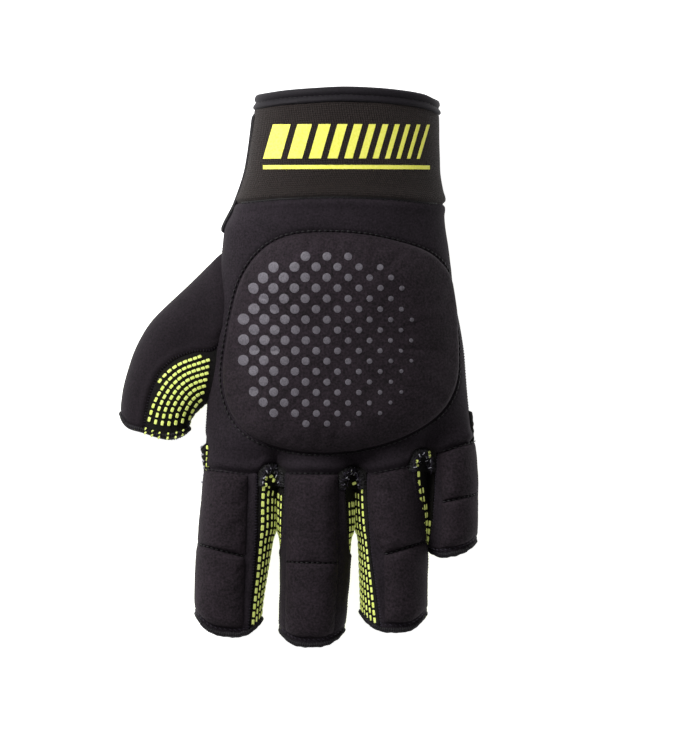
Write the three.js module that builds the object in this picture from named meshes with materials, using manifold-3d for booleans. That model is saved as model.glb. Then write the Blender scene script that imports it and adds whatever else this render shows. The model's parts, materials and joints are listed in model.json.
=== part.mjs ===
// A padded half-finger field hockey glove for the left hand, lying palm down.
// Millimetres, +Z up. The cuff points to +Y, the fingers to -Y and the thumb to -X.
// The origin lies on the resting surface, under the middle of the glove.
//
// The hand and thumb are one shell: rounded outer tubes joined together, less the hollows for
// the hand, fingers and thumb. It is cut along its seams into the sewn pieces. Each finger is a
// tube of its own, open at its end, and cut in the same way.

import * as THREE from "three";
import Module from "manifold-3d";
import { mergeVertices } from "three/addons/utils/BufferGeometryUtils.js";

const wasm = await Module();
wasm.setup();

// Driving dimensions

const seamGap = 0.3; // clearance left between two sewn pieces
const backWall = 2.4; // neoprene on the back and the sides
const palmWall = 1.5; // grip fabric under the hand
const frontWall = 1.6; // fabric between the roots of the fingers
const handSeamZ = 11; // height of the seam between the back and the palm
const soleDrop = -0.8; // a sole drawn this low is flattened where it meets the floor
const hemWidth = 3.0; // bound edge of each finger
const hemRise = 0.4; // how far a bound edge stands out from the cloth
const cuffSeamY = 61.5; // where the elastic cuff is sewn to the back
const tapeWidth = 5.0; // tape round the wrist opening
const tapeRise = 0.8;
const pipingRise = 1.7; // piping that stands out on the thumb side of the cuff
const pipingSide = [[94, 19.8], [51, 15.4], [51, 19.6], [94, 24.6]]; // its outline from the side
const padRise = 3.0; // foam on the fingers
const padEdge = 1.1; // height of a pad where it is sewn down
const padMargin = 1.2; // bare cloth between a pad and the next seam
const domeRise = 8.0; // foam over the knuckles
const domeDepth = 3.0; // how far its blank sinks in before it is fitted to the back
const domeSteps = 12; // facets across it
const openPast = 8; // how far a hollow is drawn past its open end
const farOut = 150; // beyond the glove on every side
const pastSide = 12; // how far a sloping seam is drawn past the sides of a finger

// Tables: one row for each section, from the wrist or knuckle towards the tip

function table(columns, rows) {
  const names = columns.split(" ");
  return rows.map((row) => Object.fromEntries(names.map((name, i) => [name, row[i]])));
}

const handRows = table("y left right crownX crown sideLeft sideRight sole roundTop roundSole", [
  [104, -14.6, 50.3, 17, 42.0, 22, 22, 1.2, 2.1, 2.6],
  [94.5, -15.7, 51.0, 17, 41.8, 22, 22, 1.0, 2.1, 2.6],
  [74, -18.5, 51.4, 16, 41.0, 21, 21, soleDrop, 2.1, 2.8],
  [61.2, -22.6, 53.3, 15, 40.5, 19, 20, soleDrop, 2.1, 3.0],
  [50.1, -27.6, 54.4, 14, 39.5, 18, 18, soleDrop, 2.15, 3.6],
  [25.0, -30.0, 58.6, 14, 37.0, 15, 14, soleDrop, 2.15, 4.4],
  [6.5, -32.0, 61.0, 14, 35.0, 14, 13, soleDrop, 2.15, 5.0],
  [-12.0, -33.9, 62.5, 14, 33.5, 13, 12, soleDrop, 2.3, 6.0],
  [-42.0, -35.5, 66.0, 14, 31.5, 12, 11, soleDrop, 2.6, 6.0],
]);
const handSteps = 6; // facets in a quarter of a section

// The edge of the wrist opening in plan
const wristLine = [
  [-60, 96],
  [-16.5, 99.9],
  [-4, 102.2],
  [10, 103.3],
  [24, 103.3],
  [38, 102.4],
  [48, 100.2],
  [52, 97.8],
  [90, 93],
];

// The seam at the roots of the fingers in plan
const knuckleLine = [
  [-90, -36.4],
  [-36, -36.4],
  [-8, -38.6],
  [20.5, -39.0],
  [26, -37.9],
  [48, -33.6],
  [66, -26.8],
  [90, -26.8],
];

// The seam between a finger's back and its grip fabric slopes, so that the back wraps over the
// outer sides of the hand and the grip fabric shows between the fingers. The bow is how far the
// sides of an open end lag behind its middle.
const fingers = {
  index: {
    rows: table("y left right crown", [
      [-30.0, -34.6, -8.3, 25.5],
      [-49.0, -35.7, -8.3, 26.2],
      [-71.2, -37.9, -10.4, 24.6],
      [-98.6, -38.6, -13.2, 22.6],
    ]),
    bow: 6.0,
    backSeam: { leftZ: 8, rightX: -14.4, rightZ: 22 },
    pads: { left: -35.5, right: -15.2, baseSlope: -0.118, midY: -67.8, midSlope: -0.26 },
  },
  middle: {
    rows: table("y left right crown", [
      [-30.0, -7.7, 20.2, 30.0],
      [-49.0, -7.8, 20.0, 29.5],
      [-75.0, -7.2, 18.9, 26.4],
      [-103.4, -7.7, 16.8, 23.4],
    ]),
    bow: 4.5,
    backSeam: { leftZ: 15, rightX: 18.6, rightZ: 17 },
    pads: { left: -4.9, right: 15.9, baseSlope: 0.0, midY: -71.8, midSlope: -0.02 },
  },
  ring: {
    rows: table("y left right crown", [
      [-30.0, 20.8, 47.4, 28.8],
      [-49.0, 21.1, 47.4, 28.4],
      [-75.0, 21.8, 47.5, 25.6],
      [-98.0, 22.2, 47.3, 23.2],
    ]),
    bow: 5.5,
    backSeam: { leftZ: 23, rightX: 46.0, rightZ: 12 },
    pads: { left: 28.4, right: 44.6, baseSlope: 0.21, midY: -67.2, midSlope: 0.28 },
  },
  little: {
    rows: table("y left right crown", [
      [-22.0, 48.2, 64.4, 22.8],
      [-44.0, 47.9, 66.2, 22.8],
      [-70.1, 49.0, 65.6, 21.0],
    ]),
    bow: 3.5,
    backSeam: { leftZ: 16, rightX: 64.5, rightZ: 8 },
    pads: { left: 51.0, right: 65.4, baseSlope: 0.31, midY: -48.3, midSlope: 0.23 },
  },
};
const fingerSteps = 5; // facets in a quarter of a finger or thumb section
const fingerShape = { roundTop: 2.7, roundSole: 3.0 };
const fingerSideZ = 11; // height of the widest part of a finger tube
const padFootZ = 13; // a pad reaches down the side of its finger to here
const padProfile = table("at rise", [[0, 0], [0.12, 0.7], [0.5, 1], [0.88, 0.7], [1, 0]]);

// Thumb sections fan round the crotch: each runs from an outer to an inner point in plan.
const thumbRows = table("outerX outerY innerX innerY crown", [
  [-15.2, 48.7, -18.0, -10.0, 19.5],
  [-28.5, 41.6, -24.0, -12.0, 22.0],
  [-36.6, 34.6, -28.0, -13.0, 23.2],
  [-47.0, 25.0, -31.0, -13.0, 23.8],
  [-56.6, 13.9, -33.5, -13.5, 23.8],
  [-62.5, 2.8, -36.0, -15.4, 23.6],
  [-65.4, -9.1, -39.4, -19.4, 23.0],
  [-66.2, -19.2, -41.4, -28.0, 22.2],
]);
const thumbShape = { roundTop: 2.4, roundSole: 3.4 };
const thumbSideZ = 10;
const thumbBow = 3.2;

// Seams in plan: the thumb to the hand, and the thumb's back to its grip fabric
const thumbLine = [
  [-28.5, 60],
  [-28.5, 14],
  [-30.6, 5],
  [-33.6, -8],
  [-35.3, -14],
  [-38.5, -34],
];
const thumbGripLine = [
  [-24, 5.5],
  [-38.5, 4.3],
  [-44.0, 2.0],
  [-48.5, -0.2],
  [-51.4, -5.7],
  [-55.5, -16.8],
  [-55.5, -34],
];

// Knuckle pad: its left and right edge at each height of its outline
const domeRows = table("y left right", [
  [50.3, 1, 22],
  [47.5, -10, 36],
  [42, -17, 49],
  [32, -22, 54],
  [12, -26.2, 57.2],
  [-6.0, -27.6, 58.8],
  [-15.0, -25.5, 56.0],
  [-22.0, -21.0, 47.0],
  [-27.5, -12, 35],
  [-31.2, 2, 20],
]);

const webs = [
  { name: "web_index_middle", x: -10.0, y: -39.0 },
  { name: "web_middle_ring", x: 19.6, y: -39.6 },
  { name: "web_ring_little", x: 45.6, y: -33.8 },
];
const webWidth = 8.0;
const webLength = 12.0;

// Solids and cuts

function solidOf(geometry) {
  geometry.deleteAttribute("normal");
  geometry.deleteAttribute("uv");
  const merged = mergeVertices(geometry, 1e-4);
  return new wasm.Manifold(new wasm.Mesh({
    numProp: 3,
    vertProperties: new Float32Array(merged.attributes.position.array),
    triVerts: new Uint32Array(merged.index.array),
  }));
}

function geometryOf(solid) {
  const mesh = solid.getMesh();
  const geometry = new THREE.BufferGeometry();
  geometry.setAttribute("position", new THREE.BufferAttribute(mesh.vertProperties, 3));
  geometry.setIndex(new THREE.BufferAttribute(mesh.triVerts, 1));
  geometry.computeVertexNormals();
  return geometry;
}

function joinAll(solids) {
  return solids.reduce((all, solid) => all.add(solid));
}

// Skins a list of rings, each with the same number of points, and closes both ends.
function loft(rings) {
  const count = rings[0].length;
  const centre = (ring) => ring
    .reduce((sum, point) => sum.add(point), new THREE.Vector3())
    .divideScalar(count);
  const points = [...rings.flat(), centre(rings[0]), centre(rings.at(-1))];
  const start = rings.length * count;
  const index = [];
  for (let row = 0; row < rings.length - 1; row += 1) {
    for (let i = 0; i < count; i += 1) {
      const a = row * count + i;
      const b = row * count + ((i + 1) % count);
      index.push(a, b, a + count, b, b + count, a + count);
    }
  }
  for (let i = 0; i < count; i += 1) {
    const next = (i + 1) % count;
    index.push(start, next, i);
    index.push(start + 1, start - count + i, start - count + next);
  }
  const geometry = new THREE.BufferGeometry().setFromPoints(points);
  geometry.setIndex(index);
  return solidOf(geometry);
}

// A straight-sided solid over an outline. The axis names the direction that it is drawn along.
const axes = {
  x: [[0, 1, 0], [0, 0, 1], [1, 0, 0]],
  y: [[1, 0, 0], [0, 0, 1], [0, -1, 0]],
  z: [[1, 0, 0], [0, 1, 0], [0, 0, 1]],
};

function prism(outline, axis = "z") {
  const shape = new THREE.Shape(outline.map(([u, v]) => new THREE.Vector2(u, v)));
  const geometry = new THREE.ExtrudeGeometry(shape, { depth: 2 * farOut, bevelEnabled: false });
  geometry.translate(0, 0, -farOut);
  const basis = axes[axis].map((column) => new THREE.Vector3(...column));
  geometry.applyMatrix4(new THREE.Matrix4().makeBasis(...basis));
  return solidOf(geometry);
}

function block(xRange, yRange, zRange) {
  const [x0, x1] = xRange;
  const [y0, y1] = yRange;
  const [z0, z1] = zRange;
  const geometry = new THREE.BoxGeometry(x1 - x0, y1 - y0, z1 - z0);
  geometry.translate((x0 + x1) / 2, (y0 + y1) / 2, (z0 + z1) / 2);
  return solidOf(geometry);
}

const anywhere = [-farOut, farOut];

// A seam: the region on one side of a line, closed by far corners, and the thin ribbon of
// clearance along the line.
function seam(line, farCorners, axis = "z") {
  const points = line.map(([u, v]) => new THREE.Vector2(u, v));
  const offset = (side) => points.map((point, i) => {
    const before = points[Math.max(i - 1, 0)];
    const after = points[Math.min(i + 1, points.length - 1)];
    const along = after.clone().sub(before).normalize();
    return [point.x - along.y * side, point.y + along.x * side];
  });
  const half = seamGap / 2;
  return {
    region: prism([...line, ...farCorners], axis),
    ribbon: prism([...offset(half), ...offset(-half).reverse()], axis),
  };
}

function split(solid, { region, ribbon }) {
  return {
    inside: solid.intersect(region).subtract(ribbon),
    outside: solid.subtract(region).subtract(ribbon),
  };
}

function shifted(line, dy) {
  return line.map(([x, y]) => [x, y + dy]);
}

// The height of a line in plan at x
function lineAt(line, x) {
  const i = line.findIndex((point) => point[0] > x);
  const [a, b] = [line[i - 1], line[i]];
  return a[1] + ((x - a[0]) / (b[0] - a[0])) * (b[1] - a[1]);
}

// Sections

// The points of a section: quarter superellipses that meet at the crown, the two sides and the
// sole. A sole below the floor is flattened onto it.
function sectionPoints(row, steps, grow) {
  const { left, right, crownX, crown, sideLeft, sideRight, sole, roundTop, roundSole } = row;
  const toRight = right - crownX + grow.side;
  const toLeft = left - crownX - grow.side;
  const quarters = [
    { rx: toRight, z: sideRight, rz: crown - sideRight + grow.top, round: roundTop },
    { rx: toLeft, z: sideLeft, rz: crown - sideLeft + grow.top, round: roundTop },
    { rx: toLeft, z: sideLeft, rz: sole - sideLeft - grow.sole, round: roundSole },
    { rx: toRight, z: sideRight, rz: sole - sideRight - grow.sole, round: roundSole },
  ];
  return quarters.flatMap(({ rx, z, rz, round }, quarter) => {
    return Array.from({ length: steps }, (_, i) => {
      const angle = ((quarter + i / steps) * Math.PI) / 2;
      const across = Math.abs(Math.cos(angle)) ** (2 / round);
      const up = Math.abs(Math.sin(angle)) ** (2 / round);
      return [crownX + rx * across, Math.max(z + rz * up, -grow.sole)];
    });
  });
}

const noGrow = { side: 0, top: 0, sole: 0 };
const hollow = { side: -backWall, top: -backWall, sole: -palmWall };
const clear = { side: seamGap, top: seamGap, sole: seamGap };
const rim = { side: hemRise / 2, top: hemRise, sole: 0 };

function rowAt(rows, y) {
  const i = Math.min(Math.max(rows.findIndex((row) => row.y <= y), 1), rows.length - 1);
  const [a, b] = [rows[i - 1], rows[i]];
  const t = (y - a.y) / (b.y - a.y);
  return Object.fromEntries(Object.keys(a).map((key) => [key, a[key] + t * (b[key] - a[key])]));
}

function tube(rows, steps, grow) {
  return loft(rows.map((row) => {
    return sectionPoints(row, steps, grow).map(([x, z]) => new THREE.Vector3(x, row.y, z));
  }));
}

const wristPast = [{ ...handRows[0], y: handRows[0].y + openPast }, ...handRows];

function handTube(grow) {
  return tube(wristPast, handSteps, grow);
}

function fingerRow(row) {
  return {
    ...row,
    crownX: (row.left + row.right) / 2,
    sideLeft: fingerSideZ,
    sideRight: fingerSideZ,
    sole: soleDrop,
    ...fingerShape,
  };
}

function fingerTube({ rows }, grow) {
  const past = { ...rows.at(-1), y: rows.at(-1).y - openPast };
  return tube([...rows, past].map(fingerRow), fingerSteps, grow);
}

// The open end of a finger in plan, moved back from the tip
function fingerEnd({ rows, bow }, back) {
  const { y, left, right } = rows.at(-1);
  const half = (right - left) / 2;
  const steps = [-1.6, -1, -0.7, 0, 0.7, 1, 1.6];
  return steps.map((u) => [left + half + u * half, y + back + bow * Math.min(Math.abs(u), 1) ** 3]);
}

// The plan directions of a thumb section: along it from its outer point, and ahead to the tip
function thumbFrame(row) {
  const outer = new THREE.Vector2(row.outerX, row.outerY);
  const across = new THREE.Vector2(row.innerX, row.innerY).sub(outer);
  const width = across.length();
  across.normalize();
  const ahead = new THREE.Vector2(across.y, -across.x);
  const plan = (u, v) => outer.clone().addScaledVector(across, u).addScaledVector(ahead, v);
  return { width, plan };
}

function thumbTube(grow) {
  const stations = [...thumbRows.map((row) => [row, 0]), [thumbRows.at(-1), openPast]];
  return loft(stations.map(([row, past]) => {
    const { width, plan } = thumbFrame(row);
    const section = {
      left: 0,
      right: width,
      crownX: width / 2,
      crown: row.crown,
      sideLeft: thumbSideZ,
      sideRight: thumbSideZ,
      sole: soleDrop,
      ...thumbShape,
    };
    return sectionPoints(section, fingerSteps, grow).map(([u, z]) => {
      const place = plan(u, past);
      return new THREE.Vector3(place.x, place.y, z);
    });
  }));
}

function thumbEnd(back) {
  const { width, plan } = thumbFrame(thumbRows.at(-1));
  return [-1.5, -1, -0.7, 0, 0.7, 1, 1.5].map((u) => {
    const place = plan((width / 2) * (1 + u), -back - thumbBow * Math.min(Math.abs(u), 1) ** 3);
    return [place.x, place.y];
  });
}

// Pieces

const group = new THREE.Group();

const finishes = {
  neoprene: { color: "#272327", roughness: 0.8, metalness: 0 },
  elastic: { color: "#2c2628", roughness: 0.85, metalness: 0 },
  binding: { color: "#262128", roughness: 0.7, metalness: 0 },
  pad: { color: "#2a2629", roughness: 0.8, metalness: 0 },
  grip: { color: "#d3dd7a", roughness: 0.55, metalness: 0 },
  thread: { color: "#171517", roughness: 0.75, metalness: 0 },
};

function addPiece(name, solid, finish) {
  const mesh = new THREE.Mesh(geometryOf(solid), new THREE.MeshStandardMaterial(finishes[finish]));
  mesh.name = name;
  group.add(mesh);
}

const above = [[farOut, farOut], [-farOut, farOut]];
const roots = seam(knuckleLine, above);
const wrist = seam(shifted(wristLine, -tapeWidth), above);
const cuffSeam = seam([[-farOut, cuffSeamY], [farOut, cuffSeamY]], above);
const sideSeam = seam([[-farOut, handSeamZ], [farOut, handSeamZ]], above, "y");
const handSide = seam(thumbLine, [[-farOut, -34], [-farOut, 60]]);

// Beyond the wrist opening, and beyond the end of the thumb
const pastWrist = prism([...wristLine, ...above]);
const thumbFar = [[-30, -60], [-90, -60]];
const thumbHemSeam = seam(thumbEnd(hemWidth), thumbFar);
const pastThumb = prism([...thumbEnd(0), ...thumbFar]);

const outerForm = handTube(noGrow)
  .intersect(roots.region)
  .add(thumbTube(noGrow).subtract(pastThumb));
const innerForm = joinAll([
  handTube(hollow).intersect(prism([...shifted(knuckleLine, frontWall), ...above])),
  thumbTube(hollow),
  ...Object.values(fingers).map((finger) => fingerTube(finger, hollow)),
]);
const shell = outerForm.subtract(innerForm);
const atThumb = split(shell, handSide);
const atCuff = split(atThumb.outside, cuffSeam);

// Cuff: elastic band, tape bound round the opening, and piping down the thumb side
function addCuff() {
  addPiece("cuff_band", split(atCuff.inside, wrist).outside, "elastic");
  const tapeOuter = { side: tapeRise, top: tapeRise, sole: tapeRise };
  const tapeInner = { side: -backWall - hemRise, top: -backWall - hemRise, sole: -palmWall - hemRise };
  const tape = handTube(tapeOuter).subtract(handTube(tapeInner));
  addPiece("cuff_binding", split(tape, wrist).inside.subtract(pastWrist), "binding");
  const piping = handTube({ side: pipingRise, top: 0, sole: 0 })
    .subtract(handTube(clear))
    .intersect(prism(pipingSide, "x"))
    .intersect(block([-farOut, 0], anywhere, anywhere));
  addPiece("side_binding", piping, "binding");
}

// Hand: back and palm, with the reinforcements between the finger roots cut out of the back
function addHand() {
  const halves = split(atCuff.outside, sideSeam);
  let back = halves.inside;
  for (const { name, x, y } of webs) {
    const outline = (grow) => {
      const w = webWidth / 2 + grow;
      const l = webLength / 2 + grow;
      return [[x - w, y - l], [x + w, y - l], [x + w, y + l - w], [x, y + l], [x - w, y + l - w]];
    };
    addPiece(name, back.intersect(prism(outline(0))), "thread");
    back = back.subtract(prism(outline(seamGap)));
  }
  addPiece("back_panel", back, "neoprene");
  addPiece("palm_panel", halves.outside, "grip");
}

function backHeight(x, y) {
  const row = rowAt(handRows, y);
  const right = x > row.crownX;
  const reach = (x - row.crownX) / ((right ? row.right : row.left) - row.crownX);
  const side = right ? row.sideRight : row.sideLeft;
  const { crown, roundTop } = row;
  return side + (crown - side) * (1 - Math.min(reach, 1) ** roundTop) ** (1 / roundTop);
}

// Knuckle pad: a pillow over its outline, with its underside fitted to the back of the hand
function addKnucklePad() {
  const rings = domeRows.map(({ y, left, right }, i) => {
    const along = (2 * (i + 0.35)) / (domeRows.length - 0.3) - 1;
    const upper = [];
    const under = [];
    for (let k = 0; k <= domeSteps; k += 1) {
      const u = (2 * k) / domeSteps - 1;
      const x = (left + right) / 2 + (u * (right - left)) / 2;
      const swell = Math.sqrt((1 - u ** 4) * (1 - along ** 4));
      const z = backHeight(x, y);
      upper.unshift(new THREE.Vector3(x, y, z + padEdge + (domeRise - padEdge) * swell));
      under.push(new THREE.Vector3(x, y, z - domeDepth));
    }
    return [...upper, ...under];
  });
  addPiece("knuckle_pad", loft(rings).subtract(handTube(clear)), "pad");
}

// Thumb: neoprene over its back, grip fabric over the rest, and a bound end
function addThumb() {
  const body = split(atThumb.inside, thumbHemSeam).outside;
  const grip = seam(thumbGripLine, [[-farOut, -34], [-farOut, 60], [-24, 60]]);
  const upper = block(anywhere, anywhere, [handSeamZ + seamGap / 2, farOut]);
  const upperRoom = block(anywhere, anywhere, [handSeamZ - seamGap / 2, farOut]);
  const back = split(body.intersect(upper), grip).inside;
  const backRoom = grip.region.add(grip.ribbon).intersect(upperRoom);
  addPiece("thumb_back", back, "neoprene");
  addPiece("thumb_palm", body.subtract(backRoom), "grip");
  const end = thumbTube(rim).subtract(thumbTube(hollow)).subtract(pastThumb);
  addPiece("thumb_hem", split(end, thumbHemSeam).inside, "binding");
}

// A pad on the back of a finger: its own rounded blank over the tube, between two sloping seams
function fingerPad(finger, from, to) {
  const rings = padProfile.map(({ at, rise }) => {
    const y = from.y + at * (to.y - from.y);
    const slope = from.slope + at * (to.slope - from.slope);
    const row = fingerRow(rowAt(finger.rows, y));
    const lift = padEdge + rise * (padRise - padEdge);
    const points = sectionPoints(row, fingerSteps, { side: lift / 2, top: lift, sole: 0 });
    return points.map(([x, z]) => new THREE.Vector3(x, y + slope * (x - row.crownX), z));
  });
  const { left, right } = finger.pads;
  return loft(rings)
    .subtract(fingerTube(finger, clear))
    .intersect(block([left, right], anywhere, [padFootZ, farOut]));
}

// Finger: back, grip fabric, two pads on the back and a bound end
function addFinger(name, finger) {
  const { rows, pads, backSeam } = finger;
  const [first, last] = [rows[0], rows.at(-1)];
  const below = [[last.right + 30, -farOut], [first.left - 30, -farOut]];
  const hemSeam = seam(fingerEnd(finger, hemWidth), below);
  const pastEnd = prism([...fingerEnd(finger, 0), ...below]);
  const inside = fingerTube(finger, hollow);
  const cloth = split(fingerTube(finger, noGrow).subtract(inside), roots).outside;

  const rise = (backSeam.rightZ - backSeam.leftZ) / (backSeam.rightX - first.left);
  const slope = [first.left - pastSide, backSeam.rightX + pastSide].map((x) => {
    return [x, backSeam.leftZ + rise * (x - first.left)];
  });
  const halves = split(split(cloth, hemSeam).outside, seam(slope, above, "y"));
  addPiece(`${name}_back`, halves.inside, "neoprene");
  addPiece(`${name}_palm`, halves.outside, "grip");

  const { baseSlope, midY, midSlope } = pads;
  const rootY = lineAt(knuckleLine, (first.left + first.right) / 2);
  const rootEdge = { y: rootY - padMargin, slope: baseSlope };
  const midAbove = { y: midY + padMargin / 2, slope: midSlope };
  const midBelow = { y: midY - padMargin / 2, slope: midSlope };
  const tipEdge = { y: last.y + hemWidth + padMargin, slope: 0 };
  addPiece(`${name}_pad_base`, fingerPad(finger, rootEdge, midAbove), "pad");
  const padEnd = prism([...fingerEnd(finger, hemWidth + padMargin), ...below]);
  addPiece(`${name}_pad_tip`, fingerPad(finger, midBelow, tipEdge).subtract(padEnd), "pad");

  const end = fingerTube(finger, rim).subtract(inside).subtract(pastEnd);
  addPiece(`${name}_hem`, split(end, hemSeam).inside, "binding");
}

addCuff();
addHand();
addKnucklePad();
addThumb();
for (const [name, finger] of Object.entries(fingers)) {
  addFinger(name, finger);
}

export default group;
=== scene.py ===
# A left-hand field hockey glove lying palm down: a padded neoprene back, a grip fabric palm with
# rubber ribs, five open fingers and an elastic cuff. Lengths are millimetres in the frame's axes
# (fingers to -Y, thumb to -X, up is +Z) and become metres where a mesh is made.

import json
import bpy
import numpy as np
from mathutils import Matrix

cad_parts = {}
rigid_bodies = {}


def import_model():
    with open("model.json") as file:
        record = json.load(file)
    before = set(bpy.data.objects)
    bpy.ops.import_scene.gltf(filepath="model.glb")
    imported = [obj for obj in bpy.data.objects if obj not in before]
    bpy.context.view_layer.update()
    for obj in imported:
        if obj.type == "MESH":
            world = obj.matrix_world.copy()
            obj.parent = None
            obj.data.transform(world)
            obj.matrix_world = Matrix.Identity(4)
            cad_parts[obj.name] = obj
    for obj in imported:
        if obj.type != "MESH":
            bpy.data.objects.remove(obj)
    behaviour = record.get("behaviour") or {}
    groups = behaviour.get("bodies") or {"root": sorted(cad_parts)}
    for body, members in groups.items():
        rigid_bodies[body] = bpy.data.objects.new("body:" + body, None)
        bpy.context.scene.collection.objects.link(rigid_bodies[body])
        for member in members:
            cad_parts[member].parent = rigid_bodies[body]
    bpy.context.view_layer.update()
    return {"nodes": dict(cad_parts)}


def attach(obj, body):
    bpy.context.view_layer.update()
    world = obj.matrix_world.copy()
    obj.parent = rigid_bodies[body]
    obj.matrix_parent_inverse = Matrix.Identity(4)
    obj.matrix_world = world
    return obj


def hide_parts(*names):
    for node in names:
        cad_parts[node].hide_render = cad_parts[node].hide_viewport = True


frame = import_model()
print("frame loaded:", len(frame["nodes"]), "nodes")

metre = 0.001  # one millimetre in metres
lowest = {"cloth": 0.02, "ribs": 0.01}  # how far above the floor each of them ends


# Tables and curves

def table(columns, rows):
    # One array for each named column
    return {name: np.array([row[i] for row in rows], float) for i, name in enumerate(columns.split())}


def smoothAt(places, values, at):
    # A cubic between each pair of points. Its slope at a point is the harmonic mean of the slopes
    # on both sides, and flat at a turning point, so that it never swings past its points.
    order = np.argsort(places)
    places, values = np.asarray(places, float)[order], np.asarray(values, float)[order]
    steps = np.diff(places)
    rises = np.diff(values) / steps
    product = rises[:-1] * rises[1:]
    total = np.where(product > 0, rises[:-1] + rises[1:], 1)
    slopes = np.concatenate([rises[:1], np.where(product > 0, 2 * product / total, 0), rises[-1:]])
    at = np.clip(at, places[0], places[-1])
    i = np.clip(np.searchsorted(places, at, side="right") - 1, 0, len(steps) - 1)
    h, t = steps[i], (at - places[i]) / steps[i]
    return (
        (1 + 2 * t) * (1 - t) ** 2 * values[i] + t * (1 - t) ** 2 * h * slopes[i]
        + t**2 * (3 - 2 * t) * values[i + 1] + t**2 * (t - 1) * h * slopes[i + 1]
    )


def lineAt(line, x):
    # The height of a line in plan at x
    xs, ys = zip(*line)
    return smoothAt(xs, ys, x)


def smoothStep(t):
    # 0 up to 0, 1 from 1 on, and between them three squares less two cubes
    t = np.clip(t, 0, 1)
    return t * t * (3 - 2 * t)


def bell(distance, width):
    # 1 on a line, and beside it e to the power of less the square of the distance over the width
    return np.exp(-((distance / width) ** 2))


def pillow(distance, width, power):
    # Rises from a seam as the quarter of a superellipse and is level after the given width
    return (1 - (1 - np.clip(distance / width, 0, 1)) ** power) ** (1 / power)


def crowded(count, crowd):
    # Shares from 0 to 1 that lie closer together near both ends
    s = np.linspace(0, 1, count)
    return s - crowd * np.sin(2 * np.pi * s) / (2 * np.pi)


def ripple(x, y, pitch, turn=0.0):
    # A soft irregular swell: three crossing sine waves of slightly different pitch
    waves = ((1.0, 0.3, 0.0), (0.83, 1.7, 2.1), (1.31, 2.9, 4.0))
    total = 0
    for stretch, heading, phase in waves:
        reach = x * np.cos(heading + turn) + y * np.sin(heading + turn)
        total = total + np.sin(2 * np.pi * reach / (pitch * stretch) + phase + turn)
    return total / 3


# Sections and tubes

def sectionPoint(row, angle, grow):
    # Four quarter superellipses that meet at the crown, both sides and the sole: across is the
    # cosine and up is the sine, each to the power 2 / roundness, times the half-axes. A sole that
    # would pass the floor is flattened onto it.
    side, top, sole = grow
    right, upper = np.cos(angle) > 0, np.sin(angle) > 0
    halfWidth = np.where(right, row["right"] - row["crownX"] + side, row["left"] - row["crownX"] - side)
    sideZ = np.where(right, row["sideRight"], row["sideLeft"])
    halfHeight = np.where(upper, row["crown"] - sideZ + top, row["sole"] - sideZ - sole)
    roundness = np.where(upper, row["roundTop"], row["roundSole"])
    across = np.abs(np.cos(angle)) ** (2 / roundness)
    up = np.abs(np.sin(angle)) ** (2 / roundness)
    z = np.maximum(sideZ + halfHeight * up, np.maximum(-sole, lowest["cloth"]))
    return row["crownX"] + halfWidth * across, z


def edgeAngle(row, x, right):
    # The angle at which a section lies at x in plan. An edge further out than the side is carried
    # down round it by the rest of the way.
    half = row["right"] - row["crownX"] if right else row["crownX"] - row["left"]
    side = row["sideRight"] if right else row["sideLeft"]
    reach = (x - row["crownX"] if right else row["crownX"] - x) / half
    above = np.arccos(np.sign(reach) * np.minimum(np.abs(reach), 1) ** (row["roundTop"] / 2))
    drop = np.clip(np.maximum(reach - 1, 0) * half / (side - row["sole"]), 0, 1)
    angle = above - np.arcsin(drop ** (row["roundSole"] / 2))
    return angle if right else np.pi - angle


def heightAngle(row, z, right):
    # The angle below the side at which a section comes down to the height z
    side = row["sideRight"] if right else row["sideLeft"]
    drop = np.clip((side - z) / (side - row["sole"]), 0, 1)
    below = np.arcsin(drop ** (row["roundSole"] / 2))
    return 2 * np.pi - below if right else np.pi + below


def topAngle(row, x):
    # The angle at which the upper side of a section lies at x in plan
    reach = (x - row["crownX"]) / (np.where(x > row["crownX"], row["right"], row["left"]) - row["crownX"])
    side = np.where(x > row["crownX"], 1, -1)
    return np.arccos(side * np.clip(reach, 0, 1) ** (row["roundTop"] / 2))


def leftAngle(row, z):
    # The angle at which the left side of a section passes the height z, above or below the side
    rise = np.clip((z - row["sideLeft"]) / (row["crown"] - row["sideLeft"]), 0, 1)
    drop = np.clip((row["sideLeft"] - z) / (row["sideLeft"] - row["sole"]), 0, 1)
    return np.pi - np.arcsin(rise ** (row["roundTop"] / 2)) + np.arcsin(drop ** (row["roundSole"] / 2))


def straightPlace(row, station, across, z):
    # A section across X whose station is its place in Y
    return np.stack(np.broadcast_arrays(across, station, z), axis=-1)


def rowOf(tube, station):
    # Every column of a tube's table at a station, and its fixed measures
    rows = tube["rows"]
    key = tube.get("key", "y")
    found = {name: smoothAt(rows[key], rows[name], station) for name in rows if name != key}
    found.update({name: np.full(np.shape(station), value) for name, value in tube.get("fixed", {}).items()})
    return tube["complete"](found) if "complete" in tube else found


def tubePoint(tube, station, angle, grow=(0, 0, 0)):
    # The point of a tube's section at an angle, put in its place in space
    station, angle = np.broadcast_arrays(station, angle)
    row = rowOf(tube, station)
    across, z = sectionPoint(row, angle, grow)
    return tube.get("place", straightPlace)(row, station, across, z)


def runOf(line):
    # The way along a line of points up to each of them
    return np.concatenate([[0], np.cumsum(np.linalg.norm(np.diff(line, axis=0), axis=1))])


def evenShares(tube, station, fromAngle, toAngle, shares):
    # Turns shares of a section's girth into shares of its angle, measured at one station
    fine = np.linspace(0, 1, 400)
    run = runOf(tubePoint(tube, station, fromAngle + (toAngle - fromAngle) * fine))
    return np.interp(shares * run[-1], run, fine)


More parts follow.
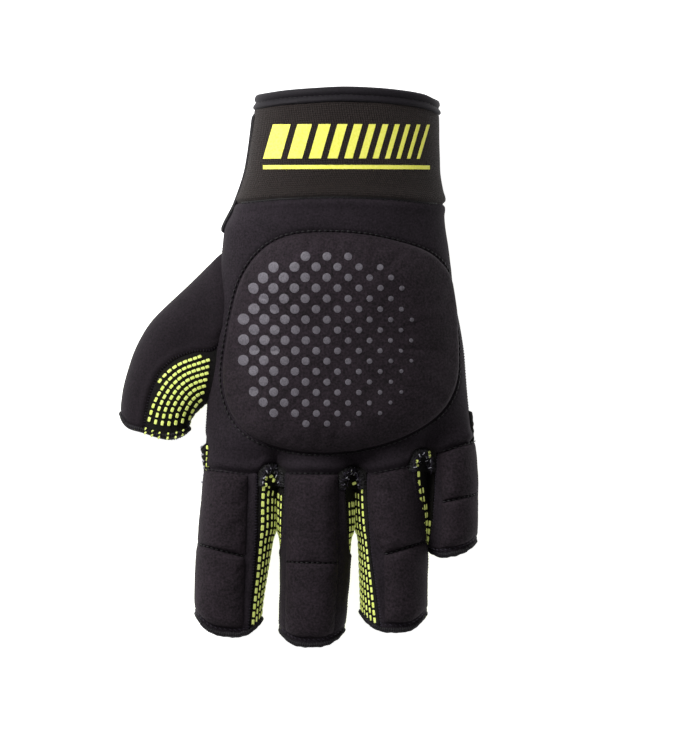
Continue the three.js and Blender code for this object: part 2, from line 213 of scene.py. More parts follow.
def tubeGrid(tube, size, fromAt, toAt, startAt, endAt, crowd=(0.0, 0.0)):
    # A grid over a tube. Across, it runs between two angles that may change from station to
    # station. Along, it runs between two stations that may change with the plan place across.
    nominal = np.array(tube["nominal"])
    shares = evenShares(tube, nominal, fromAt(nominal), toAt(nominal), crowded(size[1], crowd[1]))

    def angleAt(station):
        # The angle of every column at a station
        return fromAt(station) + (toAt(station) - fromAt(station)) * shares

    start, end = startAt(angleAt), endAt(angleAt)
    station = start + (end - start) * crowded(size[0], crowd[0])[:, None]
    return station, angleAt(station)


def acrossAt(tube, station, angleAt):
    # Where each column of a grid over a tube lies in plan at one station
    return tubePoint(tube, station, angleAt(np.array(float(station))))[..., 0]


# Grids of points

def gridNormals(points):
    # The cross product of the ways across and along the grid, at length one
    across, along = np.gradient(points, axis=1), np.gradient(points, axis=0)
    normals = np.cross(across, along)
    return normals / np.maximum(np.linalg.norm(normals, axis=2, keepdims=True), 1e-9)


def toEdges(points):
    # The way from each point to the four borders, along the grid's own lines
    across = np.linalg.norm(np.diff(points, axis=1), axis=2).cumsum(axis=1)
    along = np.linalg.norm(np.diff(points, axis=0), axis=2).cumsum(axis=0)
    first = np.pad(across, ((0, 0), (1, 0)))
    start = np.pad(along, ((1, 0), (0, 0)))
    return first, first[:, -1:] - first, start, start[-1:] - start


def sampleGrid(grid, r, c):
    # A value between the four nearest points of a grid, in fractions of its rows and columns
    r, c = np.broadcast_arrays(np.asarray(r, float), np.asarray(c, float))
    i = np.clip(np.floor(r).astype(int), 0, grid.shape[0] - 2)
    j = np.clip(np.floor(c).astype(int), 0, grid.shape[1] - 2)
    u, v = (r - i)[..., None], (c - j)[..., None]
    near = (1 - v) * grid[i, j] + v * grid[i, j + 1]
    far = (1 - v) * grid[i + 1, j] + v * grid[i + 1, j + 1]
    return (1 - u) * near + u * far


def lineDistance(x, y, line):
    # The distance in plan from each point to a line of straight stretches
    best = np.full(np.shape(x), 1e9)
    for (ax, ay), (bx, by) in zip(line[:-1], line[1:]):
        dx, dy = bx - ax, by - ay
        t = np.clip(((x - ax) * dx + (y - ay) * dy) / (dx * dx + dy * dy), 0, 1)
        best = np.minimum(best, np.hypot(x - ax - t * dx, y - ay - t * dy))
    return best


def flattened(points, level=lowest["cloth"]):
    # No point is left below a level
    points[..., 2] = np.maximum(points[..., 2], level)
    return points


# Meshes

def gridFaces(rows, columns, wrap=False, wrapRows=False):
    # One quad between each four neighbours of a grid, also round its ends where it is wrapped
    ids = np.arange(rows * columns).reshape(rows, columns)
    ids = np.concatenate([ids, ids[:, :1]], axis=1) if wrap else ids
    ids = np.concatenate([ids, ids[:1]], axis=0) if wrapRows else ids
    return np.stack([ids[:-1, :-1], ids[:-1, 1:], ids[1:, 1:], ids[1:, :-1]], axis=-1).reshape(-1, 4)


def shellOf(outer, inner):
    # A closed wall: an outer grid, an inner grid that faces the other way, and a strip round the
    # border between them
    rows, columns = outer.shape[:2]
    count = rows * columns
    faces = gridFaces(rows, columns)
    ids = np.arange(count).reshape(rows, columns)
    ring = np.concatenate([ids[0, :-1], ids[:-1, -1], ids[-1, :0:-1], ids[:0:-1, 0]])
    strip = np.stack([np.roll(ring, -1), ring, ring + count, np.roll(ring, -1) + count], axis=-1)
    points = np.concatenate([outer.reshape(-1, 3), inner.reshape(-1, 3)])
    return points, [faces, faces[:, ::-1] + count, strip]


def addPiece(name, points, faceSets, material, nodes=(), uv=None, sharp=50):
    # faceSets holds arrays of faces, each with one number of corners
    mesh = bpy.data.meshes.new(name)
    corners = np.concatenate([faces.ravel() for faces in faceSets]).astype(np.int32)
    sizes = np.concatenate([np.full(len(faces), faces.shape[1]) for faces in faceSets])
    mesh.vertices.add(len(points))
    mesh.vertices.foreach_set("co", (np.asarray(points, float) * metre).astype(np.float32).ravel())
    mesh.loops.add(len(corners))
    mesh.loops.foreach_set("vertex_index", corners)
    mesh.polygons.add(len(sizes))
    mesh.polygons.foreach_set("loop_start", (np.cumsum(sizes) - sizes).astype(np.int32))
    mesh.polygons.foreach_set("use_smooth", np.ones(len(sizes), bool))
    mesh.update(calc_edges=True)
    if uv is not None:
        layer = mesh.uv_layers.new(name="cloth")
        layer.data.foreach_set("uv", (uv[corners] * metre).astype(np.float32).ravel())
    mesh.validate()
    mesh.set_sharp_from_angle(angle=np.radians(sharp))
    piece = bpy.data.objects.new(name, mesh)
    bpy.context.scene.collection.objects.link(piece)
    mesh.materials.append(material)
    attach(piece, "root")
    if nodes:
        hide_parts(*nodes)
    return piece


def addShell(name, outer, inner, material, nodes, measured=False):
    # A wall between two grids. A measured one gets the cloth's own lengths across and along as UV.
    points, faceSets = shellOf(outer, inner)
    uv = None
    if measured:
        first, _, start, _ = toEdges(outer)
        uv = np.tile(np.stack([first, start], axis=-1).reshape(-1, 2), (2, 1))
    return addPiece(name, points, faceSets, material, nodes, uv)


def repeated(faceSets, size, count):
    # The faces of many copies of a shape, each copy's numbers moved on by the shape's points
    shift = (np.arange(count) * size)[:, None, None]
    return [(faces[None] + shift).reshape(-1, faces.shape[1]) for faces in faceSets]


def stamp(shape, places, across, along, up):
    # Copies a small shape to many places, each with its own three directions
    points, faceSets = shape
    spread = (
        places[:, None] + points[:, 0, None] * across[:, None]
        + points[:, 1, None] * along[:, None] + points[:, 2, None] * up[:, None]
    )
    return spread.reshape(-1, 3), repeated(faceSets, len(points), len(places))


def addParts(name, parts, material, sharp=50, level=-1.0):
    # One piece from several sets of points and faces
    shift, points, faceSets = 0, [], []
    for found, sets in parts:
        points.append(found)
        faceSets += [faces + shift for faces in sets]
        shift += len(found)
    addPiece(name, flattened(np.concatenate(points), level), faceSets, material, sharp=sharp)


def stackedShape(outline, levels):
    # Copies of a flat outline at several heights and scales, skinned and capped at both ends
    rings = [np.column_stack([outline * scale, np.full(len(outline), z)]) for z, scale in levels]
    faces = gridFaces(len(rings), len(outline), wrap=True)[:, ::-1]
    ids = np.arange(len(outline))
    caps = np.stack([ids[::-1], ids + (len(rings) - 1) * len(outline)])
    return np.concatenate(rings), [faces, caps]


def blockOutline(look, cut):
    # A rectangle with its corners cut off
    x, y = look["width"] / 2, look["length"] / 2
    corners = [(x, cut - y), (x, y - cut), (x - cut, y), (cut - x, y)]
    return np.array(corners + [(-a, -b) for a, b in corners])


def stitchShape(width, length, sag):
    # A thread: rings of six points along it, thin at both ends, which dip by the sag
    turns = np.arange(6) * np.pi / 3
    rings = [
        np.column_stack([
            np.cos(turns) * thick * width / 2, np.full(6, t * length / 2),
            np.sin(turns) * thick * width / 2 - sag * t * t,
        ])
        for t, thick in ((-1, 0.4), (-0.6, 0.95), (0, 1), (0.6, 0.95), (1, 0.4))
    ]
    ids = np.arange(6)
    return np.concatenate(rings), [gridFaces(5, 6, wrap=True), np.stack([ids, ids[::-1] + 24])]


# Paths over a surface: a line of points with the direction that is outwards at each

def unit(vectors):
    # Each vector over its own length
    return vectors / np.maximum(np.linalg.norm(vectors, axis=-1, keepdims=True), 1e-9)


def onGrid(grid, r, c):
    # A path in fractions of a grid's rows and columns
    return sampleGrid(grid, r, c), sampleGrid(gridNormals(grid), r, c)


def onTube(tube, station, angle):
    # A path over a tube. Outwards is across the directions of growing angle and of the fingertips,
    # where a station that is a place in Y falls.
    step = 0.01
    around = tubePoint(tube, station, angle + step) - tubePoint(tube, station, angle - step)
    ahead = tubePoint(tube, station + step, angle) - tubePoint(tube, station - step, angle)
    toTip = 1 if "key" in tube else -1
    return tubePoint(tube, station, angle), unit(np.cross(around, ahead * toTip))


def spaced(path, pitch, lift, gather=0.0, count=None):
    # Places at an even pitch on a path, each with its directions beside, along and up. The gather
    # brings them closer together at the start.
    line, normals = path
    run = runOf(line)
    count = count or max(int(run[-1] / pitch), 1)
    share = (np.arange(count) + 0.5) / count
    at = (share - gather * share * (1 - share)) * run[-1]
    heading = unit(np.gradient(line, axis=0))

    def found(values):
        # Each of the three axes, read off at every place
        return np.column_stack([np.interp(at, run, values[:, i]) for i in range(3)])

    place, up, along = found(line), unit(found(normals)), found(heading)
    along = unit(along - (along * up).sum(axis=1, keepdims=True) * up)
    return place + up * lift, np.cross(along, up), along, up


def stitches(path, look, turn=0.0, lift=0.0, jitter=0.0, seed=0):
    # Threads along a path, each turned from its direction by an angle that may vary a little
    place, beside, along, up = spaced(path, look["pitch"], look.get("lift", 0.0) + lift)
    random = np.random.default_rng(seed)
    turned = (turn + jitter * random.uniform(-1, 1, len(place)))[:, None]
    along = along * np.cos(turned) + beside * np.sin(turned)
    place = place + jitter * 0.3 * random.uniform(-1, 1, place.shape)
    shape = stitchShape(look["width"], look["length"], look.get("sag", 0.0))
    return stamp(shape, place, np.cross(along, up), along, up)


def seatsAt(place, up, turn):
    # Directions at single places, turned in the surface by an angle
    along = unit(np.cross(up, (1.0, 0.0, 0.0)))
    beside = np.cross(along, up)
    turn = turn[:, None]
    along = along * np.cos(turn) + beside * np.sin(turn)
    return place, np.cross(along, up), along, up


# Materials

def linear(hexColour):
    # sRGB to linear light
    channels = [int(hexColour[i:i + 2], 16) / 255 for i in (1, 3, 5)]
    return [c / 12.92 if c <= 0.04045 else ((c + 0.055) / 1.055) ** 2.4 for c in channels] + [1.0]


def addNode(material, kind, settings=None, links=None):
    # A node with its settings and links. A setting is an input's value, or else a property.
    node = material.node_tree.nodes.new(kind)
    for key, value in (settings or {}).items():
        if isinstance(key, int) or key in node.inputs:
            node.inputs[key].default_value = value
        else:
            setattr(node, key, value)
    for key, source in (links or {}).items():
        material.node_tree.links.new(source, node.inputs[key])
    return node


def newMaterial(name, surface):
    # A Principled shader with its even values, joined to the output
    material = bpy.data.materials.new(name)
    material.use_nodes = True
    material.node_tree.nodes.clear()
    shader = addNode(material, "ShaderNodeBsdfPrincipled", surface)
    addNode(material, "ShaderNodeOutputMaterial", links={"Surface": shader.outputs["BSDF"]})
    return material, shader


def grain(material, size, detail=3.0):
    # Noise on the object's own coordinates. size is the width of one grain in millimetres.
    coords = addNode(material, "ShaderNodeTexCoord")
    settings = {"Scale": 1 / (size * metre), "Detail": detail, "Roughness": 0.6}
    noise = addNode(material, "ShaderNodeTexNoise", settings, {"Vector": coords.outputs["Object"]})
    return noise.outputs["Fac"]


def finished(material, shader, look, tone, low, high, height, strength):
    # The look's dark and light colours, mixed by a tone between two levels, and bump of its depth in
    # millimetres
    share = addNode(material, "ShaderNodeMapRange", {"From Min": low, "From Max": high}, {"Value": tone})
    colours = {"data_type": "RGBA", 6: linear(look["dark"]), 7: linear(look["light"])}
    mixed = addNode(material, "ShaderNodeMix", colours, {0: share.outputs["Result"]})
    deep = {"Distance": look["depth"] * metre, "Strength": strength}
    bump = addNode(material, "ShaderNodeBump", deep, {"Height": height})
    material.node_tree.links.new(mixed.outputs[2], shader.inputs["Base Color"])
    material.node_tree.links.new(bump.outputs["Normal"], shader.inputs["Normal"])
    return material


def jerseyNeoprene(name, look):
    # Foam rubber faced with a brushed nylon jersey: matt, finely speckled and a little patchy, with
    # a soft bloom where it turns away
    material, shader = newMaterial(name, {
        "Roughness": 0.88, "IOR": 1.45, "Specular IOR Level": 0.22,
        "Sheen Weight": look["bloom"], "Sheen Roughness": 0.45, "Sheen Tint": linear("#cdbfcb"),
    })
    fine, broad = grain(material, look["grain"]), grain(material, look["patch"], 2.0)
    tone = addNode(material, "ShaderNodeMix", {0: 0.18}, {2: fine, 3: broad}).outputs[0]
    return finished(material, shader, look, tone, 0.33, 0.67, fine, 0.55)


def wovenElastic(name, look):
    # Covered rubber cords with a tight weft: the tone is the sum of a sine wave across and a sine
    # wave along the cloth's own UV, and of its grain
    material, shader = newMaterial(name, {
        "Roughness": 0.82, "IOR": 1.5, "Specular IOR Level": 0.25, "Sheen Weight": 0.04,
        "Sheen Roughness": 0.5, "Sheen Tint": linear("#d6cbc6"),
    })
    uv = addNode(material, "ShaderNodeUVMap", {"uv_map": "cloth"})
    ways = addNode(material, "ShaderNodeSeparateXYZ", links={"Vector": uv.outputs["UV"]})

    def waves(axis, pitch):
        # The sine of the way along one axis, with a full turn for each pitch
        turns = addNode(material, "ShaderNodeMath", {"operation": "MULTIPLY", 1: 2 * np.pi / (pitch * metre)},
                        {0: ways.outputs[axis]})
        return addNode(material, "ShaderNodeMath", {"operation": "SINE"}, {0: turns.outputs[0]}).outputs[0]

    cords, weft = waves("X", look["cordPitch"]), waves("Y", look["weftPitch"])
    weave = addNode(material, "ShaderNodeMath", {"operation": "MULTIPLY_ADD", 1: 0.8}, {0: weft, 2: cords})
    tone = addNode(material, "ShaderNodeMath", {"operation": "MULTIPLY_ADD", 1: 7.0},
                   {0: grain(material, look["grain"]), 2: weave.outputs[0]}).outputs[0]
    return finished(material, shader, look, tone, 0.9, 6.1, tone, 0.6)


def finePlain(name, look):
    # A plain cloth, tape, thread, rubber or ink with a fine grain. One may glow a little: painted light, not
    # a lamp.
    material, shader = newMaterial(name, {
        "Roughness": look["roughness"], "IOR": 1.5, "Specular IOR Level": look["gloss"],
        "Sheen Weight": look.get("bloom", 0.0), "Sheen Roughness": 0.4, "Sheen Tint": linear("#cfc6d4"),
        # Emission here is painted light that brightens a finish in shade
        "Emission Color": linear(look["light"]), "Emission Strength": look.get("paintedGlow", 0.0),
    })
    fine = grain(material, look["grain"])
    return finished(material, shader, look, fine, 0.35, 0.65, fine, 0.6)


# Each finish has two sRGB colours and, in millimetres, the width of a grain and the depth of its bump.
# Real fibres are 0.02 mm thick and the elastic's cords lie 0.4 mm apart, which is too fine to show,
# so grains and cords are drawn as coarse as they need to be.
looks = {
    # Jersey over foam rubber: near black with a violet cast, soft and without gloss
    "neoprene": {"dark": "#110d11", "light": "#2a232a", "grain": 0.7, "patch": 9, "depth": 0.22,
                 "bloom": 0.035},
    # The same cloth over the thumb, smoother; its colours are a little darker as painted shade
    "thumbShadedCloth": {"dark": "#0f0b0f", "light": "#221b21", "grain": 0.7, "patch": 9, "depth": 0.22,
                   "bloom": 0.02},
    # Napped jersey of the pads: more strongly speckled
    "pad": {"dark": "#0c090b", "light": "#2f262d", "grain": 0.8, "patch": 9, "depth": 0.22, "bloom": 0.035},
    # Covered rubber cords woven with polyester: a warmer black, finely ribbed
    "elastic": {"dark": "#110d0c", "light": "#2c2422", "grain": 0.8, "depth": 0.16, "cordPitch": 0.9,
                "weftPitch": 0.8},
    # Folded polyester tape: smooth, with a faint light where it turns away
    "tape": {"dark": "#0f0c10", "light": "#1d191f", "grain": 0.5, "depth": 0.12, "roughness": 0.7,
             "gloss": 0.2, "bloom": 0.05},
    # Knitted nylon under the ribs: a flat deep black
    "ground": {"dark": "#090808", "light": "#1a1817", "grain": 0.6, "depth": 0.2, "roughness": 0.8,
               "gloss": 0.2},
    # Spun polyester thread: blacker than the cloth, with small glints
    "thread": {"dark": "#060506", "light": "#151216", "grain": 0.4, "depth": 0.08, "roughness": 0.55,
               "gloss": 0.35},
    # Textured nylon thread of the covered edges: dark grey with a violet cast
    "overlock": {"dark": "#16131c", "light": "#37313f", "grain": 0.5, "depth": 0.1, "roughness": 0.6,
                 "gloss": 0.3},
    # Pale flecks: undyed nylon ends, which in the webs also stand for painted glints on the black thread
    "pale": {"dark": "#77747e", "light": "#c8c8d0", "grain": 0.5, "depth": 0.05, "roughness": 0.5,
             "gloss": 0.4},
    # Moulded silicone with a fluorescent pigment: lime and satin; its glow is painted light that keeps it
    # bright in shade
    "rubber": {"dark": "#d5e35c", "light": "#eef992", "grain": 1.6, "depth": 0.05, "roughness": 0.5,
               "gloss": 0.4, "paintedGlow": 0.18},
    # Thick transfer ink: an even lime with a satin face
    "cuffInk": {"dark": "#eeee58", "light": "#f8f578", "grain": 0.9, "depth": 0.06, "roughness": 0.55,
                "gloss": 0.3},
    # Screen ink in grey: a dull film that shows the cloth's nap
    "padInk": {"dark": "#4f4b51", "light": "#66626a", "grain": 0.6, "depth": 0.05, "roughness": 0.6,
               "gloss": 0.3},
}
neoprene = jerseyNeoprene("jerseyNeoprene", looks["neoprene"])
# A darker copy of the neoprene for the thumb: painted shade
thumbShadedNeoprene = jerseyNeoprene("thumbJerseyNeopreneShaded", looks["thumbShadedCloth"])
padJersey = jerseyNeoprene("padJersey", looks["pad"])
elastic = wovenElastic("wovenElastic", looks["elastic"])
tape = finePlain("bindingTape", looks["tape"])
ground = finePlain("knittedGround", looks["ground"])
thread = finePlain("sewingThread", looks["thread"])
overlock = finePlain("overlockThread", looks["overlock"])
paleThreadAndGlints = finePlain("paleThreadAndGlints", looks["pale"])
rubber = finePlain("limeSilicone", looks["rubber"])
cuffInk = finePlain("limeTransferInk", looks["cuffInk"])
padInk = finePlain("greyScreenInk", looks["padInk"])
print("materials made")


# The hand: sections from the wrist to the roots of the fingers

hand = {
    "nominal": 10.0,
    "rows": table("y left right crownX crown sideLeft sideRight sole roundTop roundSole", [
        [112, -14.6, 50.3, 17, 42, 22, 22, 1.2, 2.1, 2.6],
        [104, -14.6, 50.3, 17, 42, 22, 22, 1.2, 2.1, 2.6],
        [94.5, -15.7, 51, 17, 41.8, 22, 22, 1, 2.1, 2.6],
        [74, -18.5, 51.4, 16, 41, 21, 21, -0.8, 2.1, 2.8],
        [61.2, -22.6, 53.3, 15, 40.5, 19, 20, -0.8, 2.1, 3],
        [50.1, -27.6, 54.4, 14, 39.5, 18, 18, -0.8, 2.15, 3.6],
        [25, -30, 58.3, 14, 37, 15, 14, -0.8, 2.15, 4.4],
        [6.5, -32.9, 61, 14, 35, 14, 13, -0.8, 2.15, 5],
        [-12, -33.9, 62.5, 14, 33.5, 13, 12, -0.8, 2.3, 6],
        [-42, -35.5, 66, 14, 31.5, 12, 11, -0.8, 2.6, 6],
    ]),
}
walls = {"back": 2.4, "palm": 1.5}
hollow = (-walls["back"], -walls["back"], -walls["palm"])
# Where the pieces end in plan: the wrist's opening, the cuff's seam, the thumb's seam with the palm,
# and the front edges of the palm and of the back
seamLines = {
    "wrist": [
        (-60, 97), (-16.5, 100.5), (-4, 102.0), (5, 102.6), (17, 103.1), (29, 102.7), (38, 101.9),
        (46, 100.6), (51, 98.6), (90, 93),
    ],
    "cuff": [(-60, 61.2), (-24, 61.2), (-6, 62.4), (14, 63.0), (34, 62.4), (53, 60.9), (90, 60.9)],
    "thumb": [
        (-40, -38.5), (-34, -38.5), (-16, -34.8), (-8, -33.5), (0, -32.7), (8, -31.7), (16, -30.4),
        (28, -29.6), (40, -28.9), (60, -28.5),
    ],
    "palmFront": [
        (-90, -36.4), (-36, -36.4), (-8, -38.6), (20.5, -39.0), (26, -37.9), (48, -33.6), (66, -26.8),
        (90, -26.8),
    ],
    # The back's edge at the finger roots rises in a scallop round each web
    "knuckles": [
        (-90, -37.2), (-34, -37.4), (-18, -39.2), (-14.8, -38.8), (-12.8, -36.9), (-10.2, -36.1),
        (-7.6, -36.8), (-5.2, -38.6), (-2, -39.0), (13.8, -39.0), (15.8, -38.8), (17.4, -37.5),
        (19.6, -36.9), (21.8, -37.5), (24.0, -38.8), (27, -38.8), (34, -37.6), (40.2, -36.1),
        (41.8, -34.6), (43.2, -32.0), (45.2, -30.6), (47.4, -30.4), (49.8, -31.6), (52.0, -31.6),
        (57, -29.8), (64, -27.6), (90, -27.0),
    ],
}
seamHeight = 11.0  # between the back and the palm


def fingerComplete(row):
    # The crown lies halfway between the sides
    row["crownX"] = (row["left"] + row["right"]) / 2
    return row


# Each finger has its sections, its end (the tip in Y, how far the sides lag by the bow and by the
# tilt), the edges of its neoprene and of its pads in plan, how much of the pads' height stays at the
# seam between them (seamFill), how far its root runs under the hand's back (tucked), the pads' soft
# side, and its two seams, each as a place in X, a place in Y and a slope
fingerFixed = {"sideLeft": 11, "sideRight": 11, "sole": -0.8, "roundSole": 3.0}
fingers = {
    "index": {
        "roundTop": 2.7,
        "rows": table("y left right crown", [
            [-24, -34.4, -7.3, 25.5], [-30, -34.6, -7.3, 25.5],
            [-49, -35.7, -7.4, 26.2], [-58, -36.6, -7.6, 25.8],
            [-60.8, -36.8, -8.1, 25.6], [-63.2, -37.1, -9, 25.4],
            [-71.2, -37.9, -10.4, 24.6], [-90, -38.4, -13.2, 23.2],
            [-99.6, -38.6, -13.9, 22.5], [-108, -38.8, -14.4, 22],
        ]),
        "tip": -99.6, "bow": 6.5, "tilt": -1.0, "rootDepth": 0.9,
        "edges": table("y left right", [
            [-30, -33.4, -14.6], [-38, -33.7, -14.6], [-45.3, -35, -14.6], [-52, -38.5, -14.8],
            [-56.4, -39.5, -14.8], [-71.2, -40.5, -15.6], [-86, -41, -17], [-99.6, -41, -18.3],
        ]),
        "pads": table("y left right", [[-38, -36, -18.6], [-71.2, -39.5, -19.8], [-96, -40, -20.6]]),
        "seamFill": 0.35, "tucked": 0.5, "padSoft": "left",
        "baseSeam": (-26, -38.5, -0.118), "midSeam": (-27.5, -67.8, -0.26),
    },
    "middle": {
        "roundTop": 2.5,
        "rows": table("y left right crown", [
            [-24, -8.5, 20.9, 30], [-30, -8.5, 20.9, 30],
            [-49, -8.8, 21.4, 29.5], [-58, -8.7, 21.3, 28.6],
            [-60.8, -8.3, 20.8, 28.3], [-63.2, -7.6, 19.8, 28],
            [-75, -6.8, 18.8, 26.4], [-103.4, -7.5, 16.4, 23.4],
            [-112, -7.7, 15.8, 22.8],
        ]),
        "tip": -103.4, "bow": 5.2, "tilt": 0.0, "rootDepth": 0.9,
        "edges": table("y left right", [
            [-30, -5.5, 17.4], [-38, -5.6, 17.4], [-55, -6.2, 18.2], [-67.5, -7, 18.8],
            [-75, -8.3, 20.4], [-90, -9.6, 20.4], [-103.4, -10, 19.4],
        ]),
        "pads": table("y left right", [[-38, -4.3, 14.6], [-71.2, -4.6, 14.4], [-100, -5, 12.8]]),
        "seamFill": 0.82, "tucked": 0.5, "padSoft": "",
        "baseSeam": (6, -39.0, 0.0), "midSeam": (5, -71.8, -0.02),
    },
    "ring": {
        "roundTop": 2.25,
        "rows": table("y left right crown", [
            [-24, 20.4, 48.4, 28.8], [-30, 20.4, 48.4, 28.8],
            [-49, 19.9, 48.4, 28.4], [-58, 20.1, 48.1, 27.6],
            [-60.8, 20.6, 47.8, 27.3], [-63.2, 21.4, 47.6, 27],
            [-75, 21.9, 47.5, 25.6], [-98, 22.6, 47.2, 23.2],
            [-107, 22.8, 47, 22.6],
        ]),
        "tip": -98.0, "bow": 6.3, "tilt": -0.3, "rootDepth": 0.9,
        "edges": table("y left right", [
            [-30, 24.4, 43.2], [-41.6, 24.6, 43.6], [-50.9, 24.9, 44.8], [-58.3, 25.4, 46.2],
            [-69.7, 26.4, 48], [-78.6, 27.6, 49.6], [-91.6, 29.2, 49.8], [-98, 30, 49.8],
        ]),
        "pads": table("y left right", [
            [-38, 26.2, 43.4], [-54, 26.4, 46.4], [-64, 28.5, 47.6], [-69, 31.4, 48.2],
            [-96, 31.8, 48.4],
        ]),
        "seamFill": 0.35, "tucked": 0.5, "padSoft": "right",
        "baseSeam": (34, -37.7, 0.21), "midSeam": (37.5, -67.0, 0.28),
    },
    "little": {
        "roundTop": 2.1,
        "rows": table("y left right crown", [
            [-16, 46.6, 63.6, 22.8], [-22, 46.6, 64.4, 22.8],
            [-44, 46.4, 66.2, 22.8], [-60, 46.8, 66, 21.9],
            [-66, 47.2, 65.7, 21.4], [-70.1, 49, 65.6, 21],
            [-80, 49.4, 65.2, 20.6],
        ]),
        "tip": -69.8, "bow": 2.7, "tilt": 1.8, "rootDepth": 1.9,
        "edges": table("y left right", [
            [-22, 50.4, 68], [-34.6, 50.2, 69], [-41.6, 49.8, 70], [-56, 49, 70],
            [-70.1, 46.8, 69],
        ]),
        "pads": table("y left right", [[-30, 51.6, 67.6], [-49, 52.8, 68], [-66, 52, 67.6]]),
        "seamFill": 0.4, "tucked": 1.4, "padSoft": "right",
        "baseSeam": (57.5, -29.6, 0.31), "midSeam": (59, -48.3, 0.23),
    },
}
for finger in fingers.values():
    finger["fixed"] = dict(fingerFixed, roundTop=finger["roundTop"])
    finger["complete"] = fingerComplete
    finger["nominal"] = (finger["rows"]["y"][1] + finger["tip"]) / 2

# Over the last stretch of the back its section turns into the row of finger backs
front = {"reach": 15.0, "valleyFloor": 20.0, "soften": 0.9, "lift": 0.6, "fall": 12, "turnIn": 0.35,
         "edgeIn": 0.12}


def rootHeight(x):
    # The height of the backs of all the fingers at their roots: a soft maximum of their sections
    # and of the floor of the valleys between them
    total = np.exp(front["valleyFloor"] / front["soften"])
    for finger in fingers.values():
        row = rowOf(finger, finger["rows"]["y"][1])
        reach = np.abs(x - row["crownX"]) / (row["right"] - row["crownX"])
        rise = (1 - np.minimum(reach, 1) ** row["roundTop"]) ** (1 / row["roundTop"])
        height = row["sideRight"] + (row["crown"] - row["sideRight"]) * rise
        height = height - front["fall"] * np.maximum(reach - 1, 0)
        total = total + np.exp(height / front["soften"])
    return front["soften"] * np.log(total) + front["lift"]


def handPoint(y, angle, grow=(0, 0, 0)):
    # The hand's own section, which turns into the row of finger backs over the last stretch
    points = tubePoint(hand, y, angle, grow)
    x, y, z = np.moveaxis(points, -1, 0)
    share = smoothStep(1 - (y - lineAt(seamLines["palmFront"], x)) / front["reach"]) * (np.sin(angle) > 0)
    room = smoothStep(np.sin(np.clip(angle, 0, np.pi)) / front["turnIn"])
    height = np.maximum(rootHeight(x) + grow[1], walls["palm"])
    points[..., 2] = z + share * room * (height - z)
    return points


# Knuckle pad: its outline in plan, once round from the top

dome = {
    "centre": (17.0, 10.0), "rise": 7.6, "size": (44, 168), "steep": 13.0, "gentle": 26.0,
    "gentleHeading": 152, "crowding": 0.8, "swell": 0.25, "swellPitch": 19, "calmEdge": 12, "sunk": 0.5,
    "under": 1.6, "inFromSide": 0.4, "pulledIn": 0.85,
    "outline": [
        (-0.7, 49.0), (9, 49.4), (19.6, 49.0), (34, 46.6), (46.8, 43.0), (52.4, 40.2), (54.8, 36.8),
        (56.4, 30), (57.8, 17), (58.4, 8), (58.6, -2), (57.6, -9.0), (55.2, -13.6), (50.6, -18.6),
        (44, -22.8), (36.8, -26.2), (29.2, -28.6), (20.9, -30.4), (11.5, -31.2), (2.2, -31.0),
        (-7, -29.6), (-15.5, -26.6), (-20.6, -23.6), (-24, -19.4), (-26.6, -13), (-28.2, -6.5),
        (-28.0, 2), (-26.8, 8.3), (-25.0, 18), (-22.8, 28.7), (-20.8, 34), (-18.6, 37.8),
        (-15.8, 41.2), (-12.0, 44.8), (-7.2, 47.6),
    ],
}


def domeReachAt(angle):
    # The reach from the middle to the outline in each direction, smoothed over a few degrees
    points = np.array(dome["outline"]) - dome["centre"]
    heading = np.unwrap(np.arctan2(points[:, 1], points[:, 0]))
    if heading[-1] < heading[0]:
        points, heading = points[::-1], heading[::-1]
    heading = np.concatenate([heading - 2 * np.pi, heading, heading + 2 * np.pi])
    reach = np.tile(np.hypot(*points.T), 3)
    spread = np.radians(np.linspace(-8, 8, 9))
    wrapped = (angle[..., None] + spread - heading[0]) % (2 * np.pi) + heading[0] + 2 * np.pi
    wrapped = np.where(wrapped > heading[-1], wrapped - 2 * np.pi, wrapped)
    return np.interp(wrapped, heading, reach).mean(axis=-1)


# The same outline as a closed line of places in plan
domeTurns = np.linspace(0, 2 * np.pi, 200, endpoint=False)
domeReach = domeReachAt(domeTurns)
domeLine = np.column_stack([
    dome["centre"][0] + domeReach * np.cos(domeTurns), dome["centre"][1] + domeReach * np.sin(domeTurns),
])
domeLine = [tuple(p) for p in np.concatenate([domeLine, domeLine[:1]])]


def backHeight(x, y):
    # The height of the bare back of the hand over a place in plan
    row = rowOf(hand, y)
    right = x > row["crownX"]
    half = np.where(right, row["right"], row["left"]) - row["crownX"]
    side = np.where(right, row["sideRight"], row["sideLeft"])
    reach = np.clip((x - row["crownX"]) / half, 0, 0.999)
    z = side + (row["crown"] - side) * (1 - reach ** row["roundTop"]) ** (1 / row["roundTop"])
    share = smoothStep(1 - (y - lineAt(seamLines["palmFront"], x)) / front["reach"])
    room = smoothStep((1 - reach) / front["edgeIn"])
    return z + share * room * (rootHeight(x) - z)


def onBack(x, y, lift=0.0):
    # A path in plan laid over the bare back of the hand, with the directions outwards
    step = 0.3
    x, y = np.broadcast_arrays(x, y)
    z = backHeight(x, y)
    slopeX = (backHeight(x + step, y) - backHeight(x - step, y)) / (2 * step)
    slopeY = (backHeight(x, y + step) - backHeight(x, y - step)) / (2 * step)
    up = unit(np.stack([-slopeX, -slopeY, np.ones_like(z)], axis=-1))
    return np.stack([x, y, z], axis=-1) + up * lift, up


# Back of the hand

backLook = {"size": (150, 170), "groove": 0.8, "grooveWidth": 1.1, "edgeRoll": 0.9, "thumbRoll": 0.1,
            "hemRise": 0.5, "ripple": 0.35, "ripplePitch": 23, "calmEdge": 6, "rootLeft": -33.4}


def thumbEdge(y):
    # Where the thumb's seam lies in X
    return smoothAt(*zip(*seamLines["thumb"]), y)


